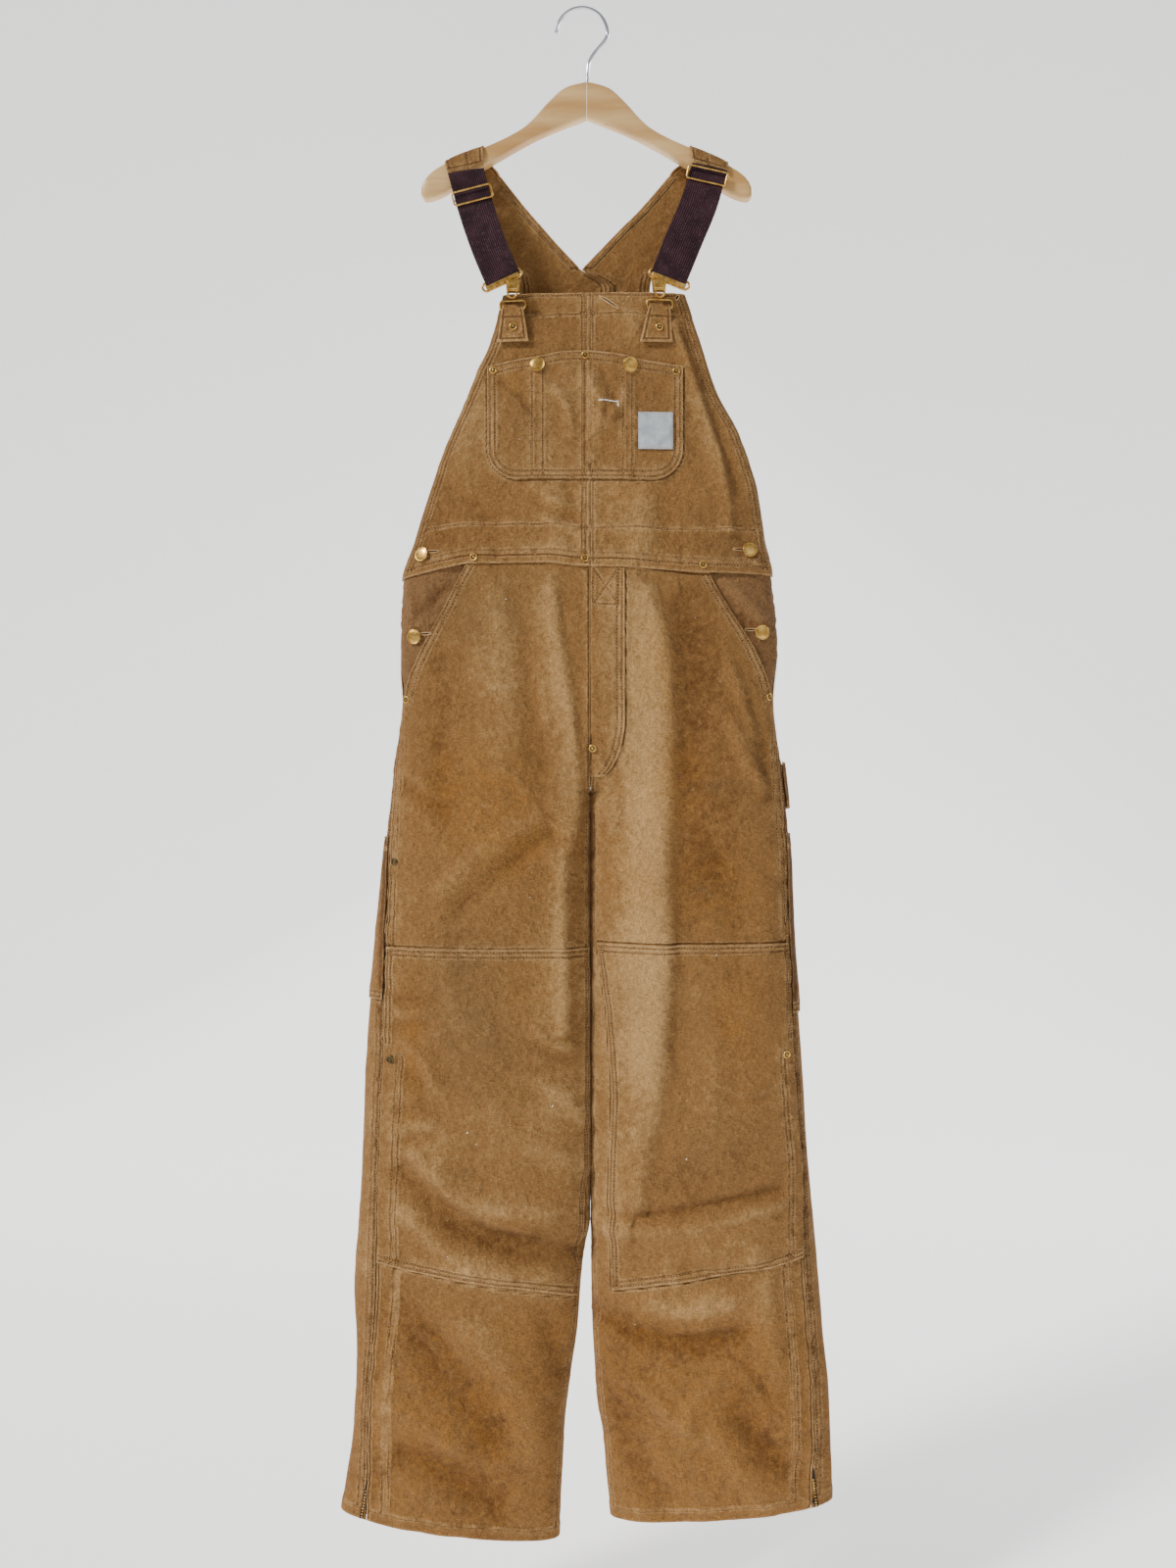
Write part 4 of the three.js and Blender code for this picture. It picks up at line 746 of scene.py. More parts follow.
def makeWood():
    material, tree, principled = newMaterial("beech", {"Roughness": 0.45, "Coat Weight": 0.1,
                                                       "Coat Roughness": 0.25})
    place = placeOn(tree)
    broad = noise(tree, stretched(tree, place, (5, 30, 42)), 1.0, 4.0, 0.5)
    grain = noise(tree, stretched(tree, place, (26, 240, 330)), 1.0, 3.0, 0.6)
    flecks = noise(tree, stretched(tree, place, (130, 700, 900)), 1.0, 1.0)
    shade = mixColour(tree, spread(tree, broad, 0.32, 0.68), colour(190, 144, 84), colour(220, 182, 124))
    shade = mixColour(tree, spread(tree, grain, 0.5, 0.78, 0.0, 0.35), shade, colour(176, 128, 80))
    shade = mixColour(tree, spread(tree, flecks, 0.66, 0.78, 0.0, 0.4), shade, colour(150, 104, 64))
    tree.links.new(shade, principled.inputs["Base Color"])
    bumped(tree, principled, grain, 0.25, 0.0002)
    return material


wood = makeWood()


def makeElastic():
    material, tree, principled = newMaterial("ribbedElastic", {"Roughness": 0.85, "Specular IOR Level": 0.2})
    place = placeOn(tree)
    ribLight = addNode(tree, "ShaderNodeAttribute", attribute_name="ribLight").outputs["Fac"]
    woven = addNode(tree, "ShaderNodeGroup", {"UV": clothUv(tree), "Yarn": 0.0009}, node_tree=weave)
    shade = mixColour(tree, spread(tree, noise(tree, place, 60.0), 0.3, 0.7), colour(48, 23, 32),
                      colour(76, 46, 55))
    # painted shade in the valleys between the ribs
    shade = mixColour(tree, ribLight, colour(16, 6, 10), shade)
    # pale lint on the rib tops, also a painted highlight there
    lint = spread(tree, noise(tree, place, 700.0, 3.0), 0.55, 0.8, 0.0, 0.7)
    shade = mixColour(tree, times(tree, lint, ribLight), shade, colour(150, 126, 128))
    tree.links.new(shade, principled.inputs["Base Color"])
    bumped(tree, principled, woven.outputs["Height"], 0.6, 0.0003)
    return material


elasticCloth = makeElastic()


def makeBlank():
    material, tree, principled = newMaterial("wovenPatch", {"Roughness": 0.7})
    place = placeOn(tree)
    woven = addNode(tree, "ShaderNodeGroup", {"UV": clothUv(tree), "Yarn": 0.0007}, node_tree=weave)
    shade = mixColour(tree, spread(tree, noise(tree, place, 90.0), 0.3, 0.7), colour(170, 178, 186),
                      colour(198, 204, 208))
    shade = mixColour(tree, spread(tree, woven.outputs["Slub"], 0.35, 0.65, 0.25, 0.0), shade,
                      colour(120, 126, 132))
    tree.links.new(shade, principled.inputs["Base Color"])
    bumped(tree, principled, woven.outputs["Height"], 0.4, 0.0002)
    return material


blank = makeBlank()
print("finishes made")

# Marks of wear, and painted shade

# Soft spots on the front and back: (x, z, half width, half height, amount). A positive amount fades the cloth
# paler; a negative one darkens it, partly darker cloth and partly painted shade along creases and valleys.
frontFadeAndShade = [
    (66, -740, 26, 90, 1.0), (66, -900, 27, 120, 1.1), (66, -1080, 32, 110, 1.4), (64, -1190, 24, 60, 0.8),
    (-40, -730, 34, 90, 0.75), (-90, -740, 46, 70, 0.2), (-26, -1000, 14, 150, 0.5), (26, -730, 12, 60, 0.7),
    (-150, -1290, 46, 36, 0.5), (-30, -1255, 26, 34, 0.6), (-40, -1110, 26, 60, 0.6),
    (130, -1480, 46, 15, 0.7), (-100, -1370, 60, 12, 0.4), (-90, -1500, 50, 40, 0.25),
    (36, -575, 60, 40, 0.6), (-5, -445, 36, 40, 0.6), (10, -345, 80, 12, 0.5), (-20, -620, 70, 12, 0.5),
    (140, -470, 14, 90, 0.5), (-130, -470, 26, 50, 0.3), (60, -430, 40, 20, -0.2), (150, -800, 50, 120, -0.6),
    (150, -980, 44, 80, -0.5), (110, -1330, 70, 50, -0.9), (-170, -570, 36, 70, -0.6),
    (-160, -850, 40, 90, -0.35), (-110, -1400, 80, 22, -0.7), (-130, -1650, 80, 70, -0.35),
    (-60, -1600, 40, 90, -0.2), (80, -1540, 80, 30, -0.25), (200, -1640, 40, 60, -0.2),
    (4, -900, 10, 140, -0.5), (150, -590, 50, 50, -0.3), (200, -700, 20, 60, -0.4),
    (-190, -700, 20, 60, -0.3), (-70, -380, 50, 20, -0.2),
]
frontGrime = [
    (-128, -1100, 50, 60, 0.9), (-110, -1180, 50, 60, 0.8), (-126, -1330, 26, 14, 0.5),
    (-120, -700, 60, 50, 0.5), (120, -1010, 60, 40, 0.5), (130, -1300, 80, 50, 0.5),
    (100, -1150, 60, 80, 0.4), (60, -450, 30, 30, 0.35), (-60, -480, 30, 40, 0.35), (160, -620, 36, 40, 0.4),
    (-30, -860, 30, 30, 0.25), (-150, -1540, 60, 60, 0.3), (150, -895, 30, 8, 0.8), (96, -1620, 60, 50, 0.3),
]
frontRust = [
    (-120, -900, 70, 50, 0.9), (-70, -960, 60, 40, 0.7), (110, -890, 26, 40, 0.9), (90, -760, 20, 50, 0.6),
    (150, -1010, 60, 40, 0.8), (-190, -1180, 14, 70, 0.9), (-60, -1120, 40, 40, 0.4),
    (170, -1160, 30, 60, 0.7), (-60, -430, 30, 20, 0.5), (50, -560, 30, 20, 0.4), (120, -430, 20, 30, 0.4),
    (60, -1000, 40, 30, 0.5), (-140, -1600, 60, 60, 0.4), (140, -1600, 60, 60, 0.4),
]
backFade = [
    (-100, -800, 60, 80, 0.7), (120, -800, 60, 80, 0.7), (-110, -1000, 40, 120, 0.3),
    (130, -1000, 40, 120, 0.3), (10, -480, 80, 60, 0.3), (-100, -1500, 60, 120, -0.3),
    (120, -1500, 60, 120, -0.3), (0, -350, 60, 30, 0.2), (-190, -1100, 30, 200, -0.3),
    (200, -1100, 30, 200, -0.3),
]
backGrime = [
    (-110, -760, 70, 60, 0.6), (120, -770, 70, 60, 0.6), (-120, -1690, 90, 40, 0.9),
    (140, -1680, 90, 40, 0.9), (-100, -1180, 60, 60, 0.4), (120, -1180, 60, 60, 0.4),
]


def spots(x, z, places):
    total = np.zeros(x.shape)
    for px, pz, wide, tall, amount in places:
        total += amount * np.exp(-(((x - px) / wide) ** 2) - ((z - pz) / tall) ** 2)
    return total


def marks(base, normal, height):
    x, z = base[..., 0], base[..., 2]
    front = ease(-normal[..., 1] + 0.5)
    golden = ease((-1440 - z) / 80)
    # fold ridges paler and hollows darker: wear on the ridges, painted shade in the hollows
    fadeAndShade = 0.66 * mix(spots(x, z, backFade), spots(x, z, frontFadeAndShade), front) + 0.1 * np.clip(height, -5, 6)
    # the edge of the leg's front shades the strip of its back that shows beside it
    beyond = np.where(x < centre, sides["right"]["seam"](z) - x, x - sides["left"]["seam"](z))
    fadeAndShade -= 0.3 * golden + 1.7 * front * (z < seamStart) * (beyond > 0) * np.exp(-(((beyond - 2) / 5) ** 2))
    grime = mix(spots(x, z, backGrime), spots(x, z, frontGrime), front)
    rust = mix(0.25, spots(x, z, frontRust), front) + 0.45 * golden
    return fadeAndShade, grime, rust


# Cloth shells

# Steps from 0 to 1 along a length, close together near both ends
def gridSteps(length, fine=1.4, coarse=3.6, band=12.0):
    band = min(band, length / 2)
    ends = np.concatenate([[0, 0.45, 0.95], np.linspace(0.95, band, max(2, round(band / fine)) + 1)[1:]])
    inside = np.linspace(band, length - band, max(1, round((length - 2 * band) / coarse)) + 1)[1:-1]
    return np.concatenate([ends, inside, length - ends[::-1]]) / length if length > 2 * band + coarse else \
        np.unique(np.concatenate([ends, length - ends[::-1]]).round(6)) / length


def addObject(name, data):
    made = bpy.data.objects.new(name, data)
    bpy.context.scene.collection.objects.link(made)
    return made


def meshFrom(name, points, faces, material, smooth=True):
    mesh = bpy.data.meshes.new(name)
    mesh.from_pydata(np.asarray(points).tolist(), [], faces)
    mesh.materials.append(material)
    mesh.polygons.foreach_set("use_smooth", [smooth] * len(mesh.polygons))
    mesh.update()
    return addObject(name, mesh)


# The outer wall, the inner wall and the rim of a closed shell on a grid
def shellFaces(columns, rowCount, flip):
    width, count = columns, columns * rowCount
    a = (np.arange(rowCount - 1)[:, None] * width + np.arange(width - 1)).ravel()
    quads = [np.stack([a, a + 1, a + width + 1, a + width], 1),
             np.stack([a + width, a + width + 1, a + 1, a], 1) + count]
    top = np.arange(width - 1)
    low = (rowCount - 1) * width + np.arange(1, width)[::-1]
    left = np.arange(1, rowCount)[::-1] * width
    right = np.arange(rowCount - 1) * width + width - 1
    for start, step in ((top, 1), (low, -1), (left, -width), (right, width)):
        quads.append(np.stack([start + step, start, start + count, start + step + count], 1))
    faces = np.concatenate(quads)
    return (faces if flip > 0 else faces[:, ::-1]).tolist()


# Every finished piece of cloth, by name
pieces = {}


# A closed shell of cloth, cut to size (width, length). worn: how rubbed its u=0, u=1, v=0 and v=1 edges are
def clothPanel(name, surface, size, flip=1, thickness=1.8, lift=0.0, layer=None, worn=(0, 0, 0, 0),
               material=duck, fine=1.4, coarse=3.6, folds=1.0, extra=None, replaces=None,
               us=None, vs=None):
    us = gridSteps(size[0], fine, coarse) if us is None else us
    vs = gridSteps(size[1], fine, coarse) if vs is None else vs
    v, u = np.meshgrid(vs, us, indexing="ij")
    base, normal = surfaceFrame(surface, u, v, flip)
    raised = lift(u, v) if callable(lift) else np.full(u.shape, float(lift))
    fold = foldHeight(base, normal) * folds
    sewing, away = relief(layer, base)
    more = extra(u, v) if extra else 0.0
    inset = [u * size[0], (1 - u) * size[0], v * size[1], (1 - v) * size[1]]
    radius = thickness * 0.42
    near = np.clip(np.minimum.reduce(inset), 0, radius)
    dropped = radius - np.sqrt(np.maximum(radius**2 - (radius - near) ** 2, 0))
    height = raised + fold + sewing + more
    outer = base + normal * (height - dropped)[..., None]
    under = base + normal * (raised + fold - thickness + dropped)[..., None]
    points = np.concatenate([outer.reshape(-1, 3), under.reshape(-1, 3)]) * mm
    piece = meshFrom(name, points, shellFaces(len(us), len(vs), flip), material)
    rub = sum(amount * np.exp(-((d / 1.8) ** 2)) for amount, d in zip(worn, inset))
    rub = rub * (0.8 + 0.4 * wobble(base[..., 0], base[..., 2], 7, 41))
    fadeAndShade, grime, rust = marks(base, normal, fold)
    fadeAndShade = fadeAndShade + 0.2 * np.exp(-(((away - 4) / 4) ** 2))
    for label, value in (("worn", rub), ("fadeAndShade", fadeAndShade), ("grime", grime), ("rust", rust),
                         ("seam", np.minimum(away, 12))):
        attribute = piece.data.attributes.new(label, "FLOAT", "POINT")
        attribute.data.foreach_set("value", np.tile(value.ravel(), 2).astype(np.float32))
    flat = np.stack([u.ravel() * size[0], v.ravel() * size[1]], 1) * mm
    addUv(piece, np.concatenate([flat, flat + 0.0037]))
    finishPiece(piece, name if replaces is None else replaces)
    pieces[name] = piece
    return piece


def addUv(piece, perPoint):
    layer = piece.data.uv_layers.new(name="cloth")
    corners = np.empty(len(piece.data.loops), np.int32)
    piece.data.loops.foreach_get("vertex_index", corners)
    layer.data.foreach_set("uv", perPoint[corners].ravel().astype(np.float32))


def finishPiece(piece, replaces):
    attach(piece, "root")
    if replaces:
        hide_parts(replaces)


stitch = dict(long=2.3, wide=0.62, tall=0.5, pitch=3.3)


# Every stitch of a layer's rows, each a short rounded bead of thread bedded in its groove
def stitchesOn(layer, lift, folds=1.0):
    long, wide, tall = stitch["long"], stitch["wide"], stitch["tall"]
    shape = [(-0.5, 0, 0.0), (-0.32, 0.5, 0.1), (-0.32, -0.5, 0.1), (-0.3, 0, 0.75), (0.32, 0.5, 0.1),
             (0.32, -0.5, 0.1), (0.3, 0, 0.75), (0.5, 0, 0.0)]
    links = [(0, 2, 3), (0, 3, 1), (1, 3, 6, 4), (3, 2, 5, 6), (4, 6, 7), (6, 5, 7), (2, 0, 1), (2, 1, 4, 5),
             (5, 4, 7)]
    points, faces = [], []
    for row in rows[layer]:
        if not row["thread"]:
            continue
        base, normal = row["base"], row["normal"]
        fold = foldHeight(base, normal) * folds
        sewing, _ = relief(layer, base)
        raised = lift(base) if callable(lift) else lift
        at = base + normal * (fold + sewing + raised + row["up"] + 0.1)[:, None]
        for start in np.arange(0.6, len(at) - 3, stitch["pitch"]):
            i = int(round(start + long / 2))
            ahead = unit(at[min(i + 1, len(at) - 1)] - at[max(i - 1, 0)])
            up = normal[i]
            aside = np.cross(up, ahead)
            first = len(points)
            for a, b, c in shape:
                points.append(at[i] + ahead * a * long + aside * b * wide + up * (c * tall - 0.1))
            faces += [[first + k for k in face] for face in links]
    finishPiece(meshFrom(f"stitches_{layer}", np.array(points) * mm, faces, thread, smooth=False), None)


# Legs, bib and back

print("sewing the legs")

pocket = dict(left=-106, right=114, foot=-549, corner=34)
pocketMouth = through([(-106, -421), (-79, -414), (-45, -409), (-22, -404), (3, -403), (28, -405),
                       (51, -409.5), (68, -413.5), (114, -421)])


def cornerCut(z):
    low = np.clip((pocket["foot"] + pocket["corner"] - z) / pocket["corner"], 0, 1)
    return pocket["corner"] * (1 - np.sqrt(1 - low * low))


def pocketOutline(inset):
    left, right, foot = pocket["left"] + inset, pocket["right"] - inset, pocket["foot"] + inset
    bend = pocket["corner"] - inset
    path = [(left, float(pocketMouth(left)) - 2), (left, foot + bend)]
    for turn in np.linspace(0, math.pi / 2, 8)[1:]:
        path.append((left + bend * (1 - math.cos(turn)), foot + bend * (1 - math.sin(turn))))
    for turn in np.linspace(math.pi / 2, 0, 8):
        path.append((right - bend * (1 - math.cos(turn)), foot + bend * (1 - math.sin(turn))))
    path.append((right, float(pocketMouth(right)) - 2))
    return path


fly = dict(top=waist - 0.5, foot=-884, bend=-815)


def flyEdge(z):
    low = np.clip((fly["bend"] - z) / (fly["bend"] - fly["foot"]), 0, 1)
    return 18 + 30 * np.sqrt(1 - low * low * 0.98)


# Each knee patch: its inner edge, and how its top and foot run from there to the side seam
kneeShape = {
    "right": (through([(-1074, 6), (-1280, 5), (-1340, 3), (-1420, -1), (-1476, -7)]), (-1079, -1077),
              (-1471, -1436)),
    "left": (through([(-1072, 18), (-1130, 26), (-1190, 31.5), (-1250, 34.5), (-1350, 32), (-1464, 34.5)]),
             (-1073, -1073), (-1463, -1431)),
}


# Painted shade and a slight dip beside an edge that lies on a layer
def edgeShadeOn(layer, path):
    frontRow(layer, path, pucker=0.25, groove=0.7, thread=False)


for side, form in sides.items():
    sign = form["sign"]
    inner, top, foot = kneeShape[side]
    edgeShadeOn(f"bib_{side}", pocketOutline(-1.3))
    edgeShadeOn(f"leg_{side}",
           [(x, float(waistLine(x)) - 4.6) for x in np.linspace(centre, form["mouth"](-655), 20)])
    edgeShadeOn(f"leg_{side}", [(float(inner(z)) - sign * 1.3, z) for z in np.linspace(top[0], foot[0], 30)])
    for ends, way in ((top, 1.3), (foot, -1.3)):
        last = float(form["seam"](ends[1])) - sign * 2
        edgeShadeOn(f"leg_{side}", [(float(inner(ends[0])), ends[0] + way), (last, ends[1] + way)])
edgeShadeOn("leg_left", [(float(flyEdge(z)) + 1.2, z) for z in np.linspace(-658, -882, 50)])
edgeShadeOn("leg_right", [(centre - 2.2, z) for z in np.linspace(-658, -880, 30)])


def downLine(across, top, foot, step=12.0):
    zs = np.arange(top, foot, -step).tolist() + [foot]
    return [(float(across(z)), z) for z in zs]


def legFront(side):
    form = sides[side]
    top = waist - waistLap

    def surface(u, v):
        z = mix(top, form["hem"], v)
        return bodyPoint(side, mix(innerTurn(z), frontEnd(side, z), u), z)

    return surface


def legBack(side):
    form = sides[side]
    top = waist - waistLap

    def surface(u, v):
        z = mix(top, form["hem"], v)
        start = np.where(z > seamStart, 1.002, frontEnd(side, z) + 2 * seamTurn)
        return bodyPoint(side, mix(start, 2 - innerTurn(z), u), z)

    return surface


legLong = {side: waist - waistLap - sides[side]["hem"] for side in sides}

for side, form in sides.items():
    sign, seam, mouth, hem = form["sign"], form["seam"], form["mouth"], form["hem"]
    layer = f"leg_{side}"
    for inset in (2.6, 8.6):
        frontRow(layer, downLine(lambda z: seam(z) - sign * inset, -812, zipTop + 6), pucker=0.7)
    frontRow(layer, downLine(lambda z: seam(z) - sign * 3, zipTop, hem + 3), pucker=0.9, thread=False)
    for inset in (18, 25):
        frontRow(layer, downLine(lambda z: seam(z) - sign * inset, zipTop - 4, hem + 13), pucker=1.0,
                 groove=0.7)
    for inset in (3.2, 9.5):
        frontRow(layer, downLine(lambda z: mouth(z) - sign * inset, -658, -802), pucker=0.45, up=0.6)
    frontRow(layer, downLine(lambda z: centre + sign * 3.2, -842, -905, 6), pucker=0.5)
    frontRow(layer, downLine(lambda z: form["inner"](z) + sign * 5, -925, hem + 14), pucker=0.5)
    inner, outer = float(form["inner"](hem)), float(seam(hem))
    frontRow(layer, [(inner + sign * 3, hem + 13), (outer - sign * 3, hem + 13)], pucker=0.6, up=0.45)

    back = legBack(side)
    toZ = lambda z: (z - (waist - waistLap)) / (hem - (waist - waistLap))
    for inset in (3.0, 9.0):
        surfaceRow(f"seat_{side}", back, -sign, 1 - inset / 225, np.linspace(0.0, toZ(crotch), 40),
                   pucker=0.6)
        surfaceRow(f"seat_{side}", back, -sign, 1 - inset / 270, np.linspace(toZ(-925), 0.985, 60),
                   pucker=0.5)
        surfaceRow(f"seat_{side}", back, -sign, inset / 260, np.linspace(toZ(-860), 0.985, 60), pucker=0.7)
    surfaceRow(f"seat_{side}", back, -sign, np.linspace(0.01, 0.99, 60), 1 - 13 / legLong[side], pucker=0.6,
               up=0.45)


def hemFold(long, deep=12.5):
    return lambda u, v: 0.7 * (1 - ease(((1 - v) * long - deep) / 1.6))


def mouthBinding(side):
    top, hem = waist - waistLap, sides[side]["hem"]
    fold = hemFold(legLong[side])

    def raised(u, v):
        z = mix(top, hem, v)
        fromEdge = (1 - u) * mix(130, 215, ease((waist - z) / 150))
        bound = 0.6 * (1 - ease((fromEdge - 11) / 1.8)) * ease((z + 812) / 10)
        return fold(u, v) + bound

    return raised


for side, form in sides.items():
    flip = -form["sign"]
    clothPanel(
        f"front_leg_{side}", legFront(side), (238, legLong[side]), flip, layer=f"leg_{side}",
        worn=(0.25, 0.9, 0, 0.9), fine=1.2, coarse=3.8, extra=mouthBinding(side))
    clothPanel(
        f"back_leg_{side}", legBack(side), (262, legLong[side]), flip, layer=f"seat_{side}",
        worn=(0.5, 0.3, 0, 0.9), fine=1.9, coarse=5.2, extra=hemFold(legLong[side]))

print("sewing the bib and back")

bibTop = -336
bibFoot = waist - 2.6


def bibSurface(side):
    return lambda u, v: bodyPoint(side, 0.998 * u, mix(bibTop, bibFoot, v))


# The bib laps over the legs at the waist, and further over the fly; its top, foot and middle are doubled
def bibLift(x, z):
    lap = 1.95 * ease((-z - 612) / 24) + 1.5 * np.exp(-(((x - 30) / 24) ** 2)) * ease((-z - 632) / 16)
    doubled = 0.7 * ease((z + 364) / 2.5) + 0.45 * ease((-z - 637) / 3)
    return lap + doubled + 0.45 * (1 - ease((np.abs(x - centre + 5) - 6) / 2))


for side, form in sides.items():
    sign, outer = form["sign"], form["outer"]
    layer = f"bib_{side}"
    for inset in (6.5, 10.8):
        frontRow(layer, downLine(lambda z: outer(z) - sign * inset, bibTop - 3, waist + 4), pucker=0.35,
                 groove=0.6)
    far = lambda z, gap: float(outer(z)) - sign * gap
    frontRow(layer, [(centre + sign * 1, bibTop - 3), (far(-340, 12), bibTop - 3)], pucker=0.5)
    frontRow(layer, [(centre + sign * 1, -360), (far(-362, 8), -362)], pucker=0.5)
    frontRow(layer, [(centre + sign * 1, -608), (far(-606, 12), -604)], pucker=0.5, groove=0.4)
    for z in (-639, -645.5):
        frontRow(layer, [(centre + sign * 1, z), (far(z, 3), z)], pucker=0.8)
    for x in ((0.5, 4.5) if side == "right" else (12.5,)):
        frontRow(layer, [(x, bibTop - 2), (x, waist + 1)], pucker=0.4)

    surface = bibSurface(side)
    lift = lambda u, v: bibLift(surface(u, v)[..., 0], mix(bibTop, bibFoot, v))
    clothPanel(
        f"bib_{side}", surface, (170, 318), -sign, lift=lift, layer=layer, worn=(0.5, 0.8, 0.9, 1.0),
        fine=1.0, coarse=2.4)


def backSurface(side):
    return lambda u, v: upperBack(side, u, mix(strapFoot, waist + waistLap, v))


backLong = waist + waistLap - strapFoot
for side, form in sides.items():
    sign = form["sign"]
    surface = backSurface(side)
    layer = f"back_{side}"
    vs = np.linspace(0.004, (vPoint - strapFoot) / backLong, 50)
    widths = np.linalg.norm(surface(np.ones(50), vs) - surface(np.zeros(50), vs), axis=-1)
    surfaceRow(layer, surface, sign, np.minimum(0.8, 9.5 / widths), vs, pucker=0.3, groove=0.9)
    surfaceRow(layer, surface, sign, np.minimum(0.8, 3.5 / widths), vs, pucker=0.3)
    vs = np.linspace((-300 - strapFoot) / backLong, 0.995, 60)
    widths = np.linalg.norm(surface(np.ones(60), vs) - surface(np.zeros(60), vs), axis=-1)
    for inset in (3, 8):
        surfaceRow(layer, surface, sign, inset / widths, vs, pucker=0.4)
        surfaceRow(layer, surface, sign, 1 - (inset + 3) / widths, vs, pucker=0.4)
    vs = (waist + 8 - strapFoot) / backLong
    for drop in (0, 6.5):
        surfaceRow(layer, surface, sign, np.linspace(0.01, 0.99, 60), vs + drop / backLong, pucker=0.7)
    clothPanel(
        f"back_{side}", surface, (150, -backLong), sign, layer=layer, worn=(0.8, 0.8, 0, 0.3),
        fine=1.4, coarse=4.0)


# The inner ply of the felled seam down the middle of the back
def seatSeam(u, v):
    z = mix(vPoint - 4, crotch + 4, v)
    y = np.where(z > waist, upperBack("left", np.zeros_like(z), z)[..., 1],
                 bodyPoint("left", np.full_like(z, 2.0), np.minimum(z, waist))[..., 1])
    return point(backSeam(z) + 10 * (u - 0.5), y, z)


seamSteps = np.linspace(0, 1, 300)
for u in (0.2, 0.8):
    surfaceRow("back_seam", seatSeam, 1, u, seamSteps, pucker=0.3, groove=0.3)
clothPanel("back_seam", seatSeam, (10, vPoint - crotch), 1, 0.9, -1.9, "back_seam", (0.9, 0.9, 0.5, 0),
           fine=0.8, coarse=3, replaces=False)


# The facing inside the V's free edges
def vFacing(side):
    def strip(u, v):
        z = mix(strapFoot - 1, vPoint + 3, v)
        ones, zeros = np.ones_like(z), np.zeros_like(z)
        wide = np.abs(upperBack(side, ones, z)[..., 0] - upperBack(side, zeros, z)[..., 0])
        return upperBack(side, u * np.minimum(10 / wide, 0.9), z)

    return strip


for side, form in sides.items():
    layer = f"v_facing_{side}"
    surfaceRow(layer, vFacing(side), form["sign"], 0.82, np.linspace(0.01, 0.99, 60), pucker=0.2, groove=0.3)
    clothPanel(layer, vFacing(side), (10, 130), form["sign"], 0.9, -1.9, layer, (0.9, 1.0, 0, 0.3),
               fine=0.8, coarse=2.4, replaces=False)

print("pockets, fly, patches and facings")

facingTurn = {s: turnAt(s, sides[s]["mouth"](zTable) - sides[s]["sign"] * 20, zTable) for s in sides}
standTop = -566
for side, form in sides.items():
    sign, mouth = form["sign"], form["mouth"]
    flip = -sign
    top = waist - waistLap

    def facing(u, v):
        z = mix(top, hipFoot - 8, v)
        under = np.interp(z, zTable, facingTurn[side])
        return bodyPoint(side, mix(under, 0.998, u), z)

    def facingLift(u, v):
        beyond = sign * (facing(u, v)[..., 0] - mouth(mix(top, hipFoot - 8, v)))
        return -(1.8 + 4 * seamGap) * (1 - ease((beyond - 4) / 30))

    for u in (0.965, 0.9):
        surfaceRow(f"facing_{side}", facing, flip, u, np.linspace(0.01, 0.99, 40), pucker=0.6)
    clothPanel(
        f"hip_facing_{side}", facing, (92, 145), flip, 1.2, facingLift, f"facing_{side}", (0, 0.8, 0, 0),
        duckShaded, 1.4, 2.6)

    stand = lambda u, v: bodyPoint(side, mix(0.8, 0.955, u), mix(standTop, hipFoot - 8, v))
    clothPanel(
        f"button_stand_{side}", stand, (34, 232), flip, 1.2, -7.0, None, (0.4, 0, 0, 0), duckShaded, 2.0, 5.0)


def pocketSurface(u, v):
    z = mix(pocketMouth(mix(pocket["left"], pocket["right"], u)), pocket["foot"], v)
    return frontPoint(mix(pocket["left"] + cornerCut(z), pocket["right"] - cornerCut(z), u), z)


for inset in (2.6, 8.4):
    frontRow("pocket", pocketOutline(inset), pucker=0.45)
for drop in (3, 10):
    frontRow("pocket", [(x, float(pocketMouth(x)) - drop) for x in np.linspace(-100, 108, 24)], pucker=0.4)
for x in (-56, -43.5, 47, 57):
    frontRow("pocket", [(x, -424), (x, -547)], pucker=0.35, groove=0.6)
for x in (1, 4.5, 10):
    frontRow("pocket", [(x, -414), (x, -547)], pucker=0.3)


# Where each part of the pocket puffs out: how far, its middle x and half width, its middle v and half height
pocketBellies = [(1.2, -78, 20, 0.35, 0.4), (1.5, -20, 20, 0.3, 0.4), (1.3, 28, 14, 0.35, 0.4),
                 (0.8, 88, 20, 0.3, 0.3)]


# Each divider is a stitched ridge where the pocket's plies meet
def pocketHeight(x, z):
    v = (pocketMouth(x) - z) / (pocketMouth(x) - pocket["foot"])
    ridge = lambda a, b: ease((x - a) / 1.5) * ease((b - x) / 1.5)
    mouth = 0.5 * (1 - ease((v * 135 - 11) / 2))
    bellies = 0
    for puff, middle, wide, high, tall in pocketBellies:
        bellies = bellies + puff * np.exp(-((((x - middle) / wide) ** 2) + ((v - high) / tall) ** 2))
    return 0.55 * (ridge(-57, -42.5) + ridge(46, 58)) + 0.35 * ridge(-1, 11.5) + mouth + bellies


def pocketRidges(u, v):
    z = mix(pocketMouth(mix(pocket["left"], pocket["right"], u)), pocket["foot"], v)
    return pocketHeight(mix(pocket["left"] + cornerCut(z), pocket["right"] - cornerCut(z), u), z)


clothPanel(
    "chest_pocket", pocketSurface, (220, 138), -1, 1.2, lie + 1.3, "pocket", (0.8, 0.8, 1.0, 0.8), duck, 1.2,
    2.0, extra=pocketRidges)


def flySurface(u, v):
    z = mix(fly["top"], fly["foot"], v)
    return frontPoint(mix(centre - 1.4, flyEdge(z), u), z)


